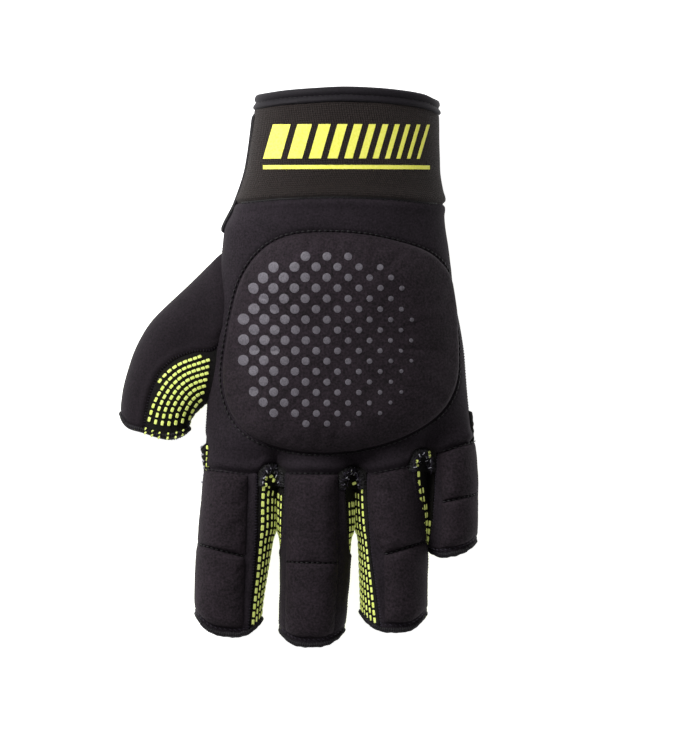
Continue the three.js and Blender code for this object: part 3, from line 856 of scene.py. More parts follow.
def backLeft(y):
    # Down to the seam with the palm, or only to the thumb where that joins the hand
    row = rowOf(hand, y)
    reach = (row["crownX"] - thumbEdge(y) + 0.6) / (row["crownX"] - row["left"])
    atThumb = np.pi - np.arccos(np.clip(reach, 0, 1) ** (row["roundTop"] / 2))
    low = heightAngle(row, seamHeight, right=False)
    low = low + (edgeAngle(row, backLook["rootLeft"], False) - low) * smoothStep((-22 - y) / 7)
    return atThumb + (low - atThumb) * smoothStep((reach - 0.985) / 0.03)


def backRight(y):
    # The angle of the seam with the palm on the right side
    return heightAngle(rowOf(hand, y), seamHeight, right=True) - 2 * np.pi


def handStart(angleAt):
    # The cuff's seam, at each column's own place across
    return lineAt(seamLines["cuff"], acrossAt(hand, 61, angleAt))


def handEnd(angleAt):
    # The front edge of the back
    return lineAt(seamLines["knuckles"], acrossAt(hand, -36, angleAt))


def buildBack():
    # The hand's upper side, sunk along the knuckle pad's outline and rolled down at its edges
    station, angle = tubeGrid(hand, backLook["size"], backRight, backLeft, handStart, handEnd, (0.3, 0.3))
    base = handPoint(station, angle)
    normals = gridNormals(base)
    x, y = base[..., 0], base[..., 1]
    away = lineDistance(x, y, domeLine)
    first, last, start, end = toEdges(base)
    lift = -backLook["groove"] * bell(away, backLook["grooveWidth"])
    lift -= backLook["edgeRoll"] * (bell(start, 0.9) + bell(end, 1.0) + bell(first, 0.8))
    lift -= backLook["thumbRoll"] * bell(last, 0.9)
    lift += backLook["hemRise"] * (bell(end - 2.6, 1.6) + bell(start - 2.4, 1.8))
    calm = smoothStep(np.minimum.reduce([first, last, start, end]) / backLook["calmEdge"])
    lift += backLook["ripple"] * ripple(x, y, backLook["ripplePitch"]) * calm
    outer = flattened(base + normals * lift[..., None])
    addShell("back_of_hand", outer, handPoint(station, angle, hollow), neoprene, ["back_panel"])
    return outer


backGrid = buildBack()
print("back of the hand made")


# Knuckle pad

def buildDome():
    # A pillow over its outline in plan. The rise is a quarter superellipse of the way from the
    # outline, steep on the little finger's side and towards the fingers and soft on the others.
    # What would hang over the hand's side is pulled in by most of its way.
    rings, turns = dome["size"]
    angle = np.linspace(0, 2 * np.pi, turns, endpoint=False)
    share = np.linspace(0, 1, rings)[:, None] ** dome["crowding"]
    reach = domeReachAt(angle)
    x = dome["centre"][0] + share * reach * np.cos(angle)
    y = dome["centre"][1] + share * reach * np.sin(angle)
    base, normals = onBack(x, y)
    normals = unit(normals * (0.4, 0.4, 1))
    soft = smoothStep(0.5 + 0.5 * np.cos(angle - np.radians(dome["gentleHeading"])))
    width = dome["steep"] + (dome["gentle"] - dome["steep"]) * soft
    rise = pillow((1 - share) * reach, width, 2.2 - 0.2 * soft) * dome["rise"]
    calm = smoothStep((1 - share) * reach / dome["calmEdge"])
    rise = rise + dome["swell"] * ripple(x, y, dome["swellPitch"], 0.7) * calm
    upper = base + normals * (rise - dome["sunk"])[..., None]
    limit = rowOf(hand, upper[..., 1])["right"] - dome["inFromSide"]
    upper[..., 0] -= np.maximum(upper[..., 0] - limit, 0) * dome["pulledIn"]
    return upper, base - normals * dome["under"]


def closeDome(upper, under):
    # Both faces of the pillow from the middle out, joined round the outline
    rings, turns = upper.shape[:2]
    points = np.concatenate([upper.reshape(-1, 3), under.reshape(-1, 3)])
    count = rings * turns
    faces = gridFaces(rings, turns, wrap=True)[turns:, ::-1]
    ids = np.arange(turns)
    cap = ids[None] + turns
    rim = ids + (rings - 1) * turns
    strip = np.stack([rim, rim + count, np.roll(rim, -1) + count, np.roll(rim, -1)], axis=-1)
    return points, [faces, faces[:, ::-1] + count, strip, cap, cap[:, ::-1] + count]


domeUpper, domeUnder = buildDome()
points, faceSets = closeDome(domeUpper, domeUnder)
domePiece = addPiece("knuckle_pad_cover", points, faceSets, padJersey, ["knuckle_pad"])
print("knuckle pad made")


# Cuff: a woven elastic band, tape bound round the opening, and piping down the thumb side

cuff = {
    "size": (46, 300), "seamAngle": 3.3, "proud": 0.7, "seamSunk": 1.1, "tapeSunk": 0.9, "full": 0.35,
    "ripple": 0.12, "ripplePitch": 17, "pastSeam": 0.7, "underTape": 0.6, "tapeWidth": 5.0, "turns": 300,
    "tapeProfile": [
        (5.5, 0.1), (5.4, 1.0), (4.9, 1.45), (4.2, 1.35), (3.4, 0.95), (3.0, 0.62), (2.6, 0.95),
        (1.9, 1.3), (1.0, 1.3), (0.3, 1.0), (-0.1, 0.3), (-0.2, -1.2), (0.1, -2.3), (0.9, -2.9),
        (2.4, -3.0), (4.6, -2.9), (5.3, -2.2),
    ],
    # Two heights in Z at two places in Y, its rise, and the ways over which it is rounded off
    "piping": {"size": (90, 16), "upper": [(49.6, 19.4), (94, 25.4)], "lower": [(49.6, 15.2), (94, 19.8)],
               "rise": 1.5, "sides": 1.5, "ends": 2.4},
}


def wristAt(angle):
    # The wrist's opening, at the angle's own place across
    return lineAt(seamLines["wrist"], tubePoint(hand, 98, angle)[..., 0])


def buildBand():
    # The hand's sections moved out by the band's thickness, sunk at both ends and full before the seam
    tube = dict(hand, nominal=80.0)
    first, last = cuff["seamAngle"] - 2 * np.pi, cuff["seamAngle"]

    def bandStart(angleAt):
        # Just under the tape
        return wristAt(angleAt(np.array(98.0))) - cuff["tapeWidth"] + cuff["underTape"]

    def bandEnd(angleAt):
        # Just past the cuff's seam
        return handStart(angleAt) - cuff["pastSeam"]

    station, angle = tubeGrid(
        tube, cuff["size"], lambda y: first, lambda y: last, bandStart, bandEnd, (0.5, 0.0))
    base = tubePoint(hand, station, angle)
    _, _, start, end = toEdges(base)
    lift = cuff["proud"] - cuff["seamSunk"] * bell(end, 0.7) - cuff["tapeSunk"] * bell(start, 0.8)
    lift += cuff["full"] * bell(end - 2.2, 1.6)
    lift += cuff["ripple"] * ripple(base[..., 0], station, cuff["ripplePitch"])
    outer = flattened(base + gridNormals(base) * lift[..., None])
    inner = tubePoint(hand, station, angle, hollow)
    addShell("cuff_elastic", outer, inner, elastic, ["cuff_band"], measured=True)


def carriedRound(tube, endAt, profile, columns, flip=1, sideShare=1.0):
    # A closed profile carried once round the end of a tube. A profile point is the way back from
    # the end and the way out from the surface, of which the sides keep only a share.
    angle = np.linspace(0, 2 * np.pi, columns, endpoint=False)
    fine = np.linspace(0, 2 * np.pi, 1600)
    run = runOf(tubePoint(tube, endAt(fine), fine))
    angle = np.interp(angle / (2 * np.pi) * run[-1], run, fine)
    rings = []
    for back, out in profile:
        station = endAt(angle) + flip * back
        rings.append(tubePoint(tube, station, angle, (out * (sideShare if out > 0 else 1), out, out)))
    return flattened(np.array(rings))


def addBinding(name, points, node, turned):
    # A profile carried round is closed both ways
    faces = gridFaces(*points.shape[:2], wrap=True, wrapRows=True)
    addPiece(name, points.reshape(-1, 3), [faces[:, ::-1] if turned else faces], tape, [node])
    return points


def buildTape():
    # The folded tape's profile carried round the wrist's opening
    points = carriedRound(hand, wristAt, cuff["tapeProfile"], cuff["turns"], -1)
    return addBinding("cuff_tape", points, "cuff_binding", False)


def buildPiping():
    # A padded strip down the thumb side between two slanting heights, rounded off all round
    look = cuff["piping"]
    rows, columns = look["size"]
    (bottom, _), (top, _) = look["upper"]
    station = np.linspace(top, bottom, rows)[:, None]
    share = np.linspace(0, 1, columns)
    upper, lower = (np.interp(station, *zip(*look[key])) for key in ("upper", "lower"))
    row = rowOf(hand, station)
    angle = leftAngle(row, upper + (lower - upper) * share)
    base = tubePoint(hand, station, angle)
    first, last, start, end = toEdges(base)
    rise = look["rise"] * pillow(np.minimum(first, last), look["sides"], 2)
    rise = rise * pillow(np.minimum(start, end), look["ends"], 2)
    outer = tubePoint(hand, station, angle, (rise, rise, 0 * rise))
    inner = tubePoint(hand, station, angle, (-0.5, -0.5, 0))
    addShell("thumb_side_piping", outer, inner, tape, ["side_binding"])
    return outer


buildBand()
tapeGrid = buildTape()
pipingGrid = buildPiping()
print("cuff made")


# Fingers

fingerLook = {
    "backSize": (70, 44), "palmSize": (60, 60), "padSize": (56, 52), "hemTurns": 130,
    "padRise": 2.7, "padSunk": 0.25, "padSide": 5.5, "padSoftSide": 17.0, "padEnd": 4.4, "padBack": 3.9,
    "padThickness": 0.9, "padRipple": 0.07, "padRipplePitch": 11, "padPower": 2.2, "groundDrop": 0.35,
    "edgeRidge": 0.3, "edgeSunk": 0.7, "endSunk": 0.4, "endSeam": 0.35, "lip": 1.3, "ripple": 0.22,
    "ripplePitch": 13, "hemRipplePitch": 3.1,
    "hemProfile": [
        (1.9, -0.3), (1.8, 0.15), (1.45, 0.5), (0.95, 0.62), (0.45, 0.48), (0.1, 0.1), (-0.05, -0.6),
        (0.0, -1.5), (0.3, -2.2), (0.9, -2.6), (2.2, -2.65), (2.4, -2.3), (2.3, -1.2),
    ],
}


def fingerEnd(finger, angle, back=0.0):
    # The open end in plan: the sides lag behind the middle by the bow, the right one by the tilt too
    row = rowOf(finger, finger["tip"])
    x = tubePoint(finger, finger["tip"], angle)[..., 0]
    u = (x - row["crownX"]) / (row["right"] - row["crownX"])
    return finger["tip"] + back + finger["bow"] * np.minimum(np.abs(u), 1) ** 3 + finger["tilt"] * u


def edgesOf(finger, key):
    # Two functions of the station: the angles of the right and the left edge of a piece
    edges = finger[key]

    def edgeAt(side):
        # The angle at which the section passes that edge's place in plan
        return lambda y: edgeAngle(rowOf(finger, y), smoothAt(edges["y"], edges[side], y), side == "right")

    return edgeAt("right"), edgeAt("left")


def endsBack(finger, back):
    # The finger's end less a way back, as a grid over it asks for it
    return lambda angleAt: fingerEnd(finger, angleAt(np.array(finger["tip"])), back)


def buildFingerBack(name, finger):
    # The upper side between its two edges, sunk under the hand's back and rolled at all its edges,
    # with a ridge along both sides
    rightAt, leftAt = edgesOf(finger, "edges")

    def startAt(angleAt):
        # A little under the front edge of the hand's back
        x = acrossAt(finger, finger["rows"]["y"][1], angleAt)
        return lineAt(seamLines["knuckles"], x) + finger["tucked"]

    station, angle = tubeGrid(
        finger, fingerLook["backSize"], rightAt, leftAt, startAt, endsBack(finger, fingerLook["lip"]),
        (0.3, 0.55))
    base = tubePoint(finger, station, angle)
    first, last, start, end = toEdges(base)
    lift = -finger["rootDepth"] * bell(start, 0.7 + finger["tucked"])
    lift -= fingerLook["endSunk"] * bell(end, 0.8) + fingerLook["endSeam"] * bell(end - 1.6, 0.5)
    lift -= fingerLook["edgeSunk"] * (bell(first, 0.6) + bell(last, 0.6))
    lift += fingerLook["edgeRidge"] * (bell(first - 1.7, 1.0) + bell(last - 1.7, 1.0))
    uneven = ripple(base[..., 0], base[..., 1], fingerLook["ripplePitch"], len(name))
    uneven = uneven * smoothStep(np.minimum(first, last) / 3)
    outer = flattened(base + gridNormals(base) * (lift + fingerLook["ripple"] * uneven)[..., None])
    inner = tubePoint(finger, station, angle, hollow)
    addShell(name + "_neoprene", outer, inner, neoprene, [name + "_back"])
    return outer


def buildFingerPalm(name, finger):
    # The rest of the tube, a little lower than its surface, from under the hand's front edges
    rightAt, leftAt = edgesOf(finger, "edges")

    def startAt(angleAt):
        # Above, the front edge of the hand's back, below that of the palm, and a blend on the sides
        y = finger["rows"]["y"][1]
        x = acrossAt(finger, y, angleAt)
        upper = smoothStep(0.5 + np.sin(angleAt(np.array(y))))
        knuckles, palmFront = lineAt(seamLines["knuckles"], x), lineAt(seamLines["palmFront"], x)
        return upper * knuckles + (1 - upper) * palmFront + 0.4

    station, angle = tubeGrid(
        finger, fingerLook["palmSize"], leftAt, lambda y: rightAt(y) + 2 * np.pi, startAt,
        endsBack(finger, fingerLook["lip"]))
    base = tubePoint(finger, station, angle)
    outer = flattened(base - gridNormals(base) * fingerLook["groundDrop"])
    inner = tubePoint(finger, station, angle, hollow)
    addShell(name + "_grip_fabric", outer, inner, ground, [name + "_palm"])
    return outer


def buildPad(name, part, finger, startLine, endLine):
    # A pillow on the back of a finger between two sloping seams. startLine and endLine are a place
    # x, a place y and a slope, or None for the bound end.
    rightAt, leftAt = edgesOf(finger, "pads")

    def seamAt(line, margin):
        # The sloping seam at each column's place across, moved by a margin
        x0, y0, slope = line
        return lambda angleAt: y0 + slope * (acrossAt(finger, y0, angleAt) - x0) + margin

    between = 0.6 - 0.45 * finger["seamFill"]  # a flatter seam is a narrower one
    atStart = seamAt(startLine, -0.5 if endLine else -between)
    atEnd = seamAt(endLine, between) if endLine else endsBack(finger, fingerLook["padBack"])
    station, angle = tubeGrid(
        finger, fingerLook["padSize"], rightAt, leftAt, atStart, atEnd, (0.7, 0.7))
    base = tubePoint(finger, station, angle)
    first, last, start, end = toEdges(base)
    power = fingerLook["padPower"]
    nearStart, nearEnd = (pillow(away, fingerLook["padEnd"], power) for away in (start, end))
    if endLine:
        nearEnd = finger["seamFill"] + (1 - finger["seamFill"]) * nearEnd
    else:
        nearStart = finger["seamFill"] + (1 - finger["seamFill"]) * nearStart
    rise = fingerLook["padRise"] * nearStart * nearEnd
    for away, side in ((first, "right"), (last, "left")):
        if finger["padSoft"] == side:
            rise = rise * smoothStep(away / fingerLook["padSoftSide"])
        else:
            rise = rise * pillow(away, fingerLook["padSide"], power)
    uneven = ripple(base[..., 0], base[..., 1], fingerLook["padRipplePitch"], len(name) + len(part))
    rise = rise * (1 + fingerLook["padRipple"] * uneven)
    away = gridNormals(base) * (0.5, 1, 1)
    outer = base + away * (rise - fingerLook["padSunk"])[..., None]
    inner = base - away * fingerLook["padThickness"]
    node = f"{name}_{part}".replace("_cover", "")
    piece = addShell(f"{name}_{part}", outer, inner, padJersey, [node])
    return outer


def buildHem(name, finger):
    # The folded edge's profile carried round the finger's end, a little wavy
    points = carriedRound(
        finger, lambda angle: fingerEnd(finger, angle), fingerLook["hemProfile"], fingerLook["hemTurns"],
        sideShare=0.3)
    wavy = ripple(points[..., 0], points[..., 2], fingerLook["hemRipplePitch"], len(name))
    points[..., 1] += fingerLook["ripple"] * wavy
    return addBinding(name + "_bound_edge", points, name + "_hem", True)


fingerGrids = {}
for name, finger in fingers.items():
    fingerGrids[name] = {
        "back": buildFingerBack(name, finger),
        "palm": buildFingerPalm(name, finger),
        "padBase": buildPad(name, "pad_base_cover", finger, finger["baseSeam"], finger["midSeam"]),
        "padTip": buildPad(name, "pad_tip_cover", finger, finger["midSeam"], None),
        "hem": buildHem(name, finger),
    }
print("fingers made")


# The foam: cloth under pressure

padding = {"pressure": 6.0, "frames": 20, "scale": 12.0, "slack": -0.02, "quality": 4, "fingerCap": 0.7,
           "domeCap": 1.4}


def swell(pads):
    # Each pad is cloth blown up from inside, held where it is sewn down. It is simulated on a larger
    # copy, and no point may end further than its cap from where it started: the way is the cap
    # times the hyperbolic tangent of the way over the cap.
    scene = bpy.context.scene
    copies = []
    for piece, grid, free, cap in pads:
        mesh = piece.data.copy()
        start = np.empty(len(mesh.vertices) * 3, np.float32)
        mesh.vertices.foreach_get("co", start)
        mesh.vertices.foreach_set("co", start * padding["scale"])
        copy = bpy.data.objects.new("swelling", mesh)
        scene.collection.objects.link(copy)
        held = np.ones(len(mesh.vertices), bool)
        held[:free.size] = ~free.ravel()
        group = copy.vertex_groups.new(name="sewn")
        group.add(np.flatnonzero(held).tolist(), 1.0, "REPLACE")
        settings = copy.modifiers.new("padding", "CLOTH").settings
        settings.vertex_group_mass = "sewn"
        settings.use_pressure = True
        settings.uniform_pressure_force = padding["pressure"]
        settings.effector_weights.gravity = 0
        settings.shrink_min = padding["slack"]
        settings.quality = padding["quality"]
        copies.append((copy, start.reshape(-1, 3)))
    for number in range(1, padding["frames"] + 1):
        scene.frame_set(number)
    graph = bpy.context.evaluated_depsgraph_get()
    for (piece, grid, free, cap), (copy, start) in zip(pads, copies):
        found = np.empty(start.size, np.float32)
        copy.evaluated_get(graph).to_mesh().vertices.foreach_get("co", found)
        way = (found.reshape(-1, 3) / padding["scale"] - start) / metre
        length = np.linalg.norm(way, axis=1, keepdims=True)
        way *= cap * np.tanh(length / cap) / np.maximum(length, 1e-9)
        points = flattened(start / metre + way)
        piece.data.vertices.foreach_set("co", (points * metre).astype(np.float32).ravel())
        piece.data.update()
        grid[...] = points[:free.size].reshape(grid.shape)
        print("  ", piece.name, "swelled by up to", round(float(np.linalg.norm(way, axis=1).max()), 2), "mm")
    for copy, _ in copies:
        bpy.data.objects.remove(copy)
    scene.frame_set(1)


def freeWithin(grid, rowsHeld, columnsHeld):
    # All of a grid but its last rows, and as many first rows and outer columns as are held
    free = np.ones(grid.shape[:2], bool)
    free[-rowsHeld:] = False
    if columnsHeld:
        free[:rowsHeld] = False
        free[:, :columnsHeld] = False
        free[:, -columnsHeld:] = False
    return free


allPads = [(domePiece, domeUpper, freeWithin(domeUpper, 3, 0), padding["domeCap"])]
for name, grids in fingerGrids.items():
    for part, key in (("pad_base_cover", "padBase"), ("pad_tip_cover", "padTip")):
        piece = bpy.data.objects[f"{name}_{part}"]
        allPads.append((piece, grids[key], freeWithin(grids[key], 2, 2), padding["fingerCap"]))
swell(allPads)
print("pads swelled")


# Thumb: sections fan round the crotch, each from an outer to an inner point in plan

def thumbComplete(row):
    # A section is as wide as its two points in plan lie apart
    row["width"] = np.hypot(row["innerX"] - row["outerX"], row["innerY"] - row["outerY"])
    row["left"], row["right"] = 0 * row["width"], row["width"]
    row["crownX"] = row["width"] * thumb["crownShare"]
    return row


def thumbPlace(row, station, across, z):
    # Across is counted from the outer point towards the inner one
    alongX = (row["innerX"] - row["outerX"]) / row["width"]
    alongY = (row["innerY"] - row["outerY"]) / row["width"]
    return np.stack([row["outerX"] + alongX * across, row["outerY"] + alongY * across, z], axis=-1)


thumb = {
    "key": "station", "nominal": 5.0, "complete": thumbComplete, "place": thumbPlace, "last": 7.4,
    "crownShare": 0.42,
    "fixed": {"sideLeft": 10, "sideRight": 10, "sole": -0.8, "roundTop": 2.4, "roundSole": 3.4},
    "rows": table("station outerX outerY innerX innerY crown", [
        [0, -15.2, 48.7, -18, -10, 18], [1, -28.5, 41.6, -24, -12, 20.6],
        [2, -36.6, 34.6, -28, -13, 22.2], [3, -47, 25, -31, -13, 23.2],
        [4, -56.6, 13.9, -33.5, -13.5, 23.6], [5, -62.5, 2.8, -36, -15.4, 23.6],
        [6, -65.4, -9.1, -39.4, -19.4, 23], [7, -66.2, -17.4, -41.4, -27, 22.2],
        [8, -66.2, -25.2, -43.6, -35.4, 21.4],
    ]),
    "gripSeam": table("station share", [
        [0, 0.60], [2, 0.60], [3, 0.52], [4, 0.435], [5, 0.385], [6, 0.385], [7, 0.385], [8, 0.385],
    ]),
    "ribShares": table("station first step", [
        [2, 0.61, 0.048], [3, 0.566, 0.0535], [4, 0.49, 0.063], [5, 0.425, 0.072], [6, 0.37, 0.085],
        [7, 0.325, 0.097], [8, 0.29, 0.105],
    ]),
    "backSize": (70, 50), "palmSize": (70, 70), "bow": 0.5, "fullness": 0.2, "innerBow": 0.8,
    "stationLength": 8.0, "outerEdgeZ": 4.0, "fillet": 2.4, "seamRidge": 0.4, "ripple": 0.4,
    "ripplePitch": 24, "tucked": 0.2, "ribs": 8, "ribClear": 0.05, "ribEnd": 4.1,
}


def thumbAngle(station, share):
    # The angle on the upper side at a share of the section's width
    row = rowOf(thumb, station)
    return topAngle(row, share * row["width"])


def thumbSeamAngle(station):
    # The angle of the neoprene's edge beside the grip fabric
    return thumbAngle(station, smoothAt(thumb["gripSeam"]["station"], thumb["gripSeam"]["share"], station))


def insideHand(points):
    # Below zero inside the hand. Near the sole a line in plan takes over, so that both soles meet.
    x, y, z = np.moveaxis(points, -1, 0)
    row = rowOf(hand, y)
    left = x < row["crownX"]
    half = np.where(left, row["left"], row["right"]) - row["crownX"]
    side = np.where(left, row["sideLeft"], row["sideRight"])
    upper = z > side
    roundness = np.where(upper, row["roundTop"], row["roundSole"])
    tall = np.where(upper, row["crown"] - side, row["sole"] - side)
    reach, rise = np.abs((x - row["crownX"]) / half), np.abs((z - side) / tall)
    byHand = (reach**roundness + rise**roundness) ** (1 / roundness) - 1
    byLine = (np.maximum(thumbEdge(y), row["left"] + 0.4) - x) / 40
    share = smoothStep((z - 5) / 8)
    return byHand * share + byLine * (1 - share)


def thumbStart(angleAt):
    # The last station at which each column is still inside the hand
    fine = np.linspace(0, 6.2, 300)[:, None]
    within = insideHand(tubePoint(thumb, fine, angleAt(fine)))
    last = len(fine) - 1 - np.argmax(within[::-1] < 0, axis=0)
    last = np.clip(last, 0, len(fine) - 2)
    column = np.arange(within.shape[1])
    a, b = within[last, column], within[last + 1, column]
    found = fine[last, 0] + (fine[1, 0] - fine[0, 0]) * np.clip(-a / np.where(b == a, 1, b - a), 0, 1)
    kernel = np.array([1, 2, 3, 2, 1]) / 9
    return np.convolve(np.pad(found, 2, mode="edge"), kernel, mode="valid") - thumb["tucked"]


def thumbEnd(angle, back=0.0):
    # Its outer corner is full and its inner one cut back
    reach = np.abs(np.cos(angle)) ** (2 / 2.8)
    outer = thumb["fullness"] * reach**1.5 - thumb["bow"] * reach**9
    cut = np.where(np.cos(angle) < 0, outer, -thumb["innerBow"] * reach**3)
    return thumb["last"] + cut - back / thumb["stationLength"]


def buildThumb():
    # The tube from where it leaves the hand, in a neoprene and a grip fabric part. The neoprene is
    # filled up beside the hand, rolled down at its edges, and has a ridge along its seam.
    def seamLow(station):
        # The angle at which the neoprene ends below the outer side
        return leftAngle(rowOf(thumb, station), thumb["outerEdgeZ"])

    def endAt(angleAt):
        # The open end less the lip of its hem
        return thumbEnd(angleAt(np.array(thumb["last"])), fingerLook["lip"])

    station, angle = tubeGrid(
        thumb, thumb["backSize"], thumbSeamAngle, seamLow, thumbStart, endAt, (0.3, 0.5))
    base = tubePoint(thumb, station, angle)
    first, last, start, end = toEdges(base)
    lift = -0.7 * (bell(first, 0.8) + bell(last, 0.8)) - 0.5 * bell(end, 0.9)
    lift += thumb["fillet"] * bell(start, 7.0) * smoothStep(np.sin(angle) * 2) * smoothStep(first / 9)
    lift += thumb["seamRidge"] * bell(first - 2.2, 1.3)
    uneven = ripple(base[..., 0], base[..., 1], thumb["ripplePitch"], 1.4)
    uneven = uneven * smoothStep(np.minimum(first, start) / 6)
    back = flattened(base + gridNormals(base) * (lift + thumb["ripple"] * uneven)[..., None])
    inner = tubePoint(thumb, station, angle, hollow)
    # The thumb's neoprene is the darker copy: painted shade
    addShell("thumb_neoprene", back, inner, thumbShadedNeoprene, ["thumb_back"])

    station, angle = tubeGrid(
        thumb, thumb["palmSize"], seamLow, lambda s: thumbSeamAngle(s) + 2 * np.pi, thumbStart, endAt)
    base = tubePoint(thumb, station, angle)
    palm = flattened(base - gridNormals(base) * fingerLook["groundDrop"])
    inner = tubePoint(thumb, station, angle, hollow)
    addShell("thumb_grip_fabric", palm, inner, ground, ["thumb_palm"])

    profile = [(way / thumb["stationLength"], out) for way, out in fingerLook["hemProfile"]]
    hem = carriedRound(thumb, thumbEnd, profile, fingerLook["hemTurns"], -1, 0.6)
    return back, palm, addBinding("thumb_bound_edge", hem, "thumb_hem", True)


thumbBack, thumbPalm, thumbHem = buildThumb()
print("thumb made")


# Palm of the hand

palmLook = {"size": (110, 130), "drop": 0.35, "thumbX": -16.5, "thumbY": (-12, 46)}


def palmLeft(y):
    # From the seam with the back, or from the thumb's line in plan where the thumb joins the sole
    row = rowOf(hand, y)
    reach = (row["crownX"] - thumbEdge(y)) / (row["crownX"] - row["left"])
    atThumb = np.pi + np.arccos(np.clip(reach, 0, 1) ** (row["roundSole"] / 2))
    return np.where(y < -20, backLeft(y), np.maximum(heightAngle(row, seamHeight, right=False), atThumb))


def buildPalm():
    # The hand's lower side, pressed onto the floor where the thumb's sole joins it
    def endAt(angleAt):
        # The front edge of the palm
        return lineAt(seamLines["palmFront"], acrossAt(hand, -36, angleAt))

    station, angle = tubeGrid(
        hand, palmLook["size"], palmLeft, lambda y: backRight(y) + 2 * np.pi, handStart, endAt)

    def pressed(grow, floor):
        # The hand's section, let down to a floor beside the thumb
        points = tubePoint(hand, station, angle, grow)
        x, y, z = np.moveaxis(points, -1, 0)
        near, far = palmLook["thumbY"]
        level = smoothStep((palmLook["thumbX"] - x) / 4)
        level = level * smoothStep((y - near) / 6) * smoothStep((far - y) / 6)
        points[..., 2] = z - np.maximum(z - floor, 0) * level
        return points

    base = pressed((0, 0, 0), lowest["cloth"])
    outer = flattened(base - gridNormals(base) * palmLook["drop"])
    addShell("palm_grip_fabric", outer, pressed(hollow, walls["palm"]), ground, ["palm_panel"])
    return outer


palmGrid = buildPalm()
print("palm made")


# Rubber ribs: rows of small blocks moulded onto the grip fabric

rib = {
    "spacing": 2.3, "sunk": 0.35, "proud": 0.19, "floor": 0.2, "cornerCut": 0.22,
    "finger": {"width": 0.8, "length": 2.06, "pitch": 2.9, "gather": 0.0},
    "soleHeight": 2.9, "soleReach": 0.82, "soleRows": {"index": 10, "middle": 10, "ring": 10, "little": 6},
    # The rows beside the neoprene's edges, counted from either side, are wider
    "shownWidths": {"index": {-1: 1.22}, "ring": {0: 1.0, -1: 1.4}, "little": {0: 1.3}},
    "thumb": {"width": 1.04, "length": 1.75, "pitch": 2.12, "margin": 2.2, "gather": 0.24},
    "palm": {"width": 1.15, "length": 2.06, "pitch": 2.9, "margin": 3.0, "gather": 0.0, "spacing": 2.9},
    "margins": {"index": (2.3, 2.0), "middle": (1.3, 1.4), "ring": (2.0, 1.2), "little": (1.4, 2.3)},
    # Where the fork between two fingers hides them: from the side, the place in Y at which they
    # start, and the line in plan from there to the open part beyond which they stay hidden
    "forks": {
        "index": [(1, -39.6, -11.6, -53, -7.4)],
        "middle": [(-1, -46.0, -8.6, -56, -9.6), (1, -48.6, 20.0, -60, 21.4)],
        "ring": [(-1, -45.0, 21.0, -60, 19.6), (1, -38.6, 44.8, -58, 48.4)],
        "little": [(-1, -57.0, 47.6, -66, 46.0)],
    },
}


def clearOfForks(name, place):
    # True for the places that no fork hides
    x, y = place[:, 0], place[:, 1]
    shown = np.ones(len(x), bool)
    for side, startY, startX, openY, openX in rib["forks"].get(name, ()):
        limit = startX + (openX - startX) * np.clip((startY - y) / (startY - openY), 0, 1)
        near = (x - startX) * side > -9
        shown &= ~(near & ((y > startY) | ((y > openY) & ((x - limit) * side > 0))))
    return shown


def ribBlocks(path, look, count=None, name=None):
    # A row of blocks with cut corners and sloping sides along a path, shorter where they crowd
    place, beside, along, up = spaced(path, look["pitch"], 0.0, look["gather"], count=count)
    flattened(place, rib["floor"])
    shown = clearOfForks(name, place)
    near = np.linalg.norm(np.gradient(place, axis=0), axis=1, keepdims=True)
    along = along * np.clip(near / look["pitch"], 0.6, 1)
    shape = stackedShape(
        blockOutline(look, rib["cornerCut"]),
        [(-rib["sunk"], 1.0), (rib["proud"] * 0.5, 1.0), (rib["proud"], 0.8)])
    return stamp(shape, place[shown], beside[shown], along[shown], up[shown])


def addRibs(name, parts):
    # Rubber, with the edges of its blocks kept sharp
    addParts(name, parts, rubber, 40, lowest["ribs"])


def ribColumns(grid, row, margins):
    # Columns about one rib apart along one row of a grid, between its two margins
    run = runOf(grid[row])
    room = run[-1] - margins[0] - margins[1]
    at = margins[0] + np.linspace(0, room, int(room / rib["spacing"]) + 1)
    return np.interp(at, run, np.arange(len(run)))


def soleLine(tube, reach, fromY, toY):
    # A straight line under a tube at one share of its half width
    y = np.linspace(fromY, toY, 120)
    row = rowOf(tube, y)
    below = np.arccos(abs(reach) ** (row["roundSole"] / 2))
    line, up = onTube(tube, y, 2 * np.pi - below if reach > 0 else np.pi + below)
    return line - up * fingerLook["groundDrop"], up


def buildFingerRibs(name, finger, palm):
    # Up the sides the rows follow the cloth's edges, and underneath they are straight
    look = rib["finger"]
    last = palm.shape[0] - 1
    count = int(runOf(palm[:, 0])[-1] / look["pitch"])
    columns = ribColumns(palm, last // 2, rib["margins"][name])
    columns = columns[sampleGrid(palm, last // 2, columns)[:, 2] > rib["soleHeight"]]
    rows = np.linspace(0.6, last - 0.8, 160)
    widths = np.full(len(columns), look["width"])
    for number, width in rib["shownWidths"].get(name, {}).items():
        widths[number] = width
    parts = [
        ribBlocks(onGrid(palm, rows, column), dict(look, width=width), count, name)
        for column, width in zip(columns, widths)
    ]
    middle = palm[:, palm.shape[1] // 2, 1]
    for reach in np.linspace(-rib["soleReach"], rib["soleReach"], rib["soleRows"][name]):
        parts.append(ribBlocks(soleLine(finger, reach, middle[2], middle[-1] + 1.2), look, count))
    addRibs(name + "_ribs", parts)


def buildPalmRibs():
    # Straight rows of the printed cloth, cut off where the palm's edges cross them
    look = rib["palm"]
    x = palmGrid[..., 0]
    ids = np.arange(x.shape[1])
    parts = []
    for at in np.arange(-34.0, 66.0, look["spacing"]):
        inside = (x[:, 0] + look["margin"] < at) & (at < x[:, -1] - look["margin"])
        inside[[0, 1, -2, -1]] = False
        rows = np.flatnonzero(inside)
        if len(rows) > 8:
            columns = [np.interp(at, x[i], ids) for i in rows]
            parts.append(ribBlocks(onGrid(palmGrid, rows, columns), look))
    addRibs("palm_ribs", parts)


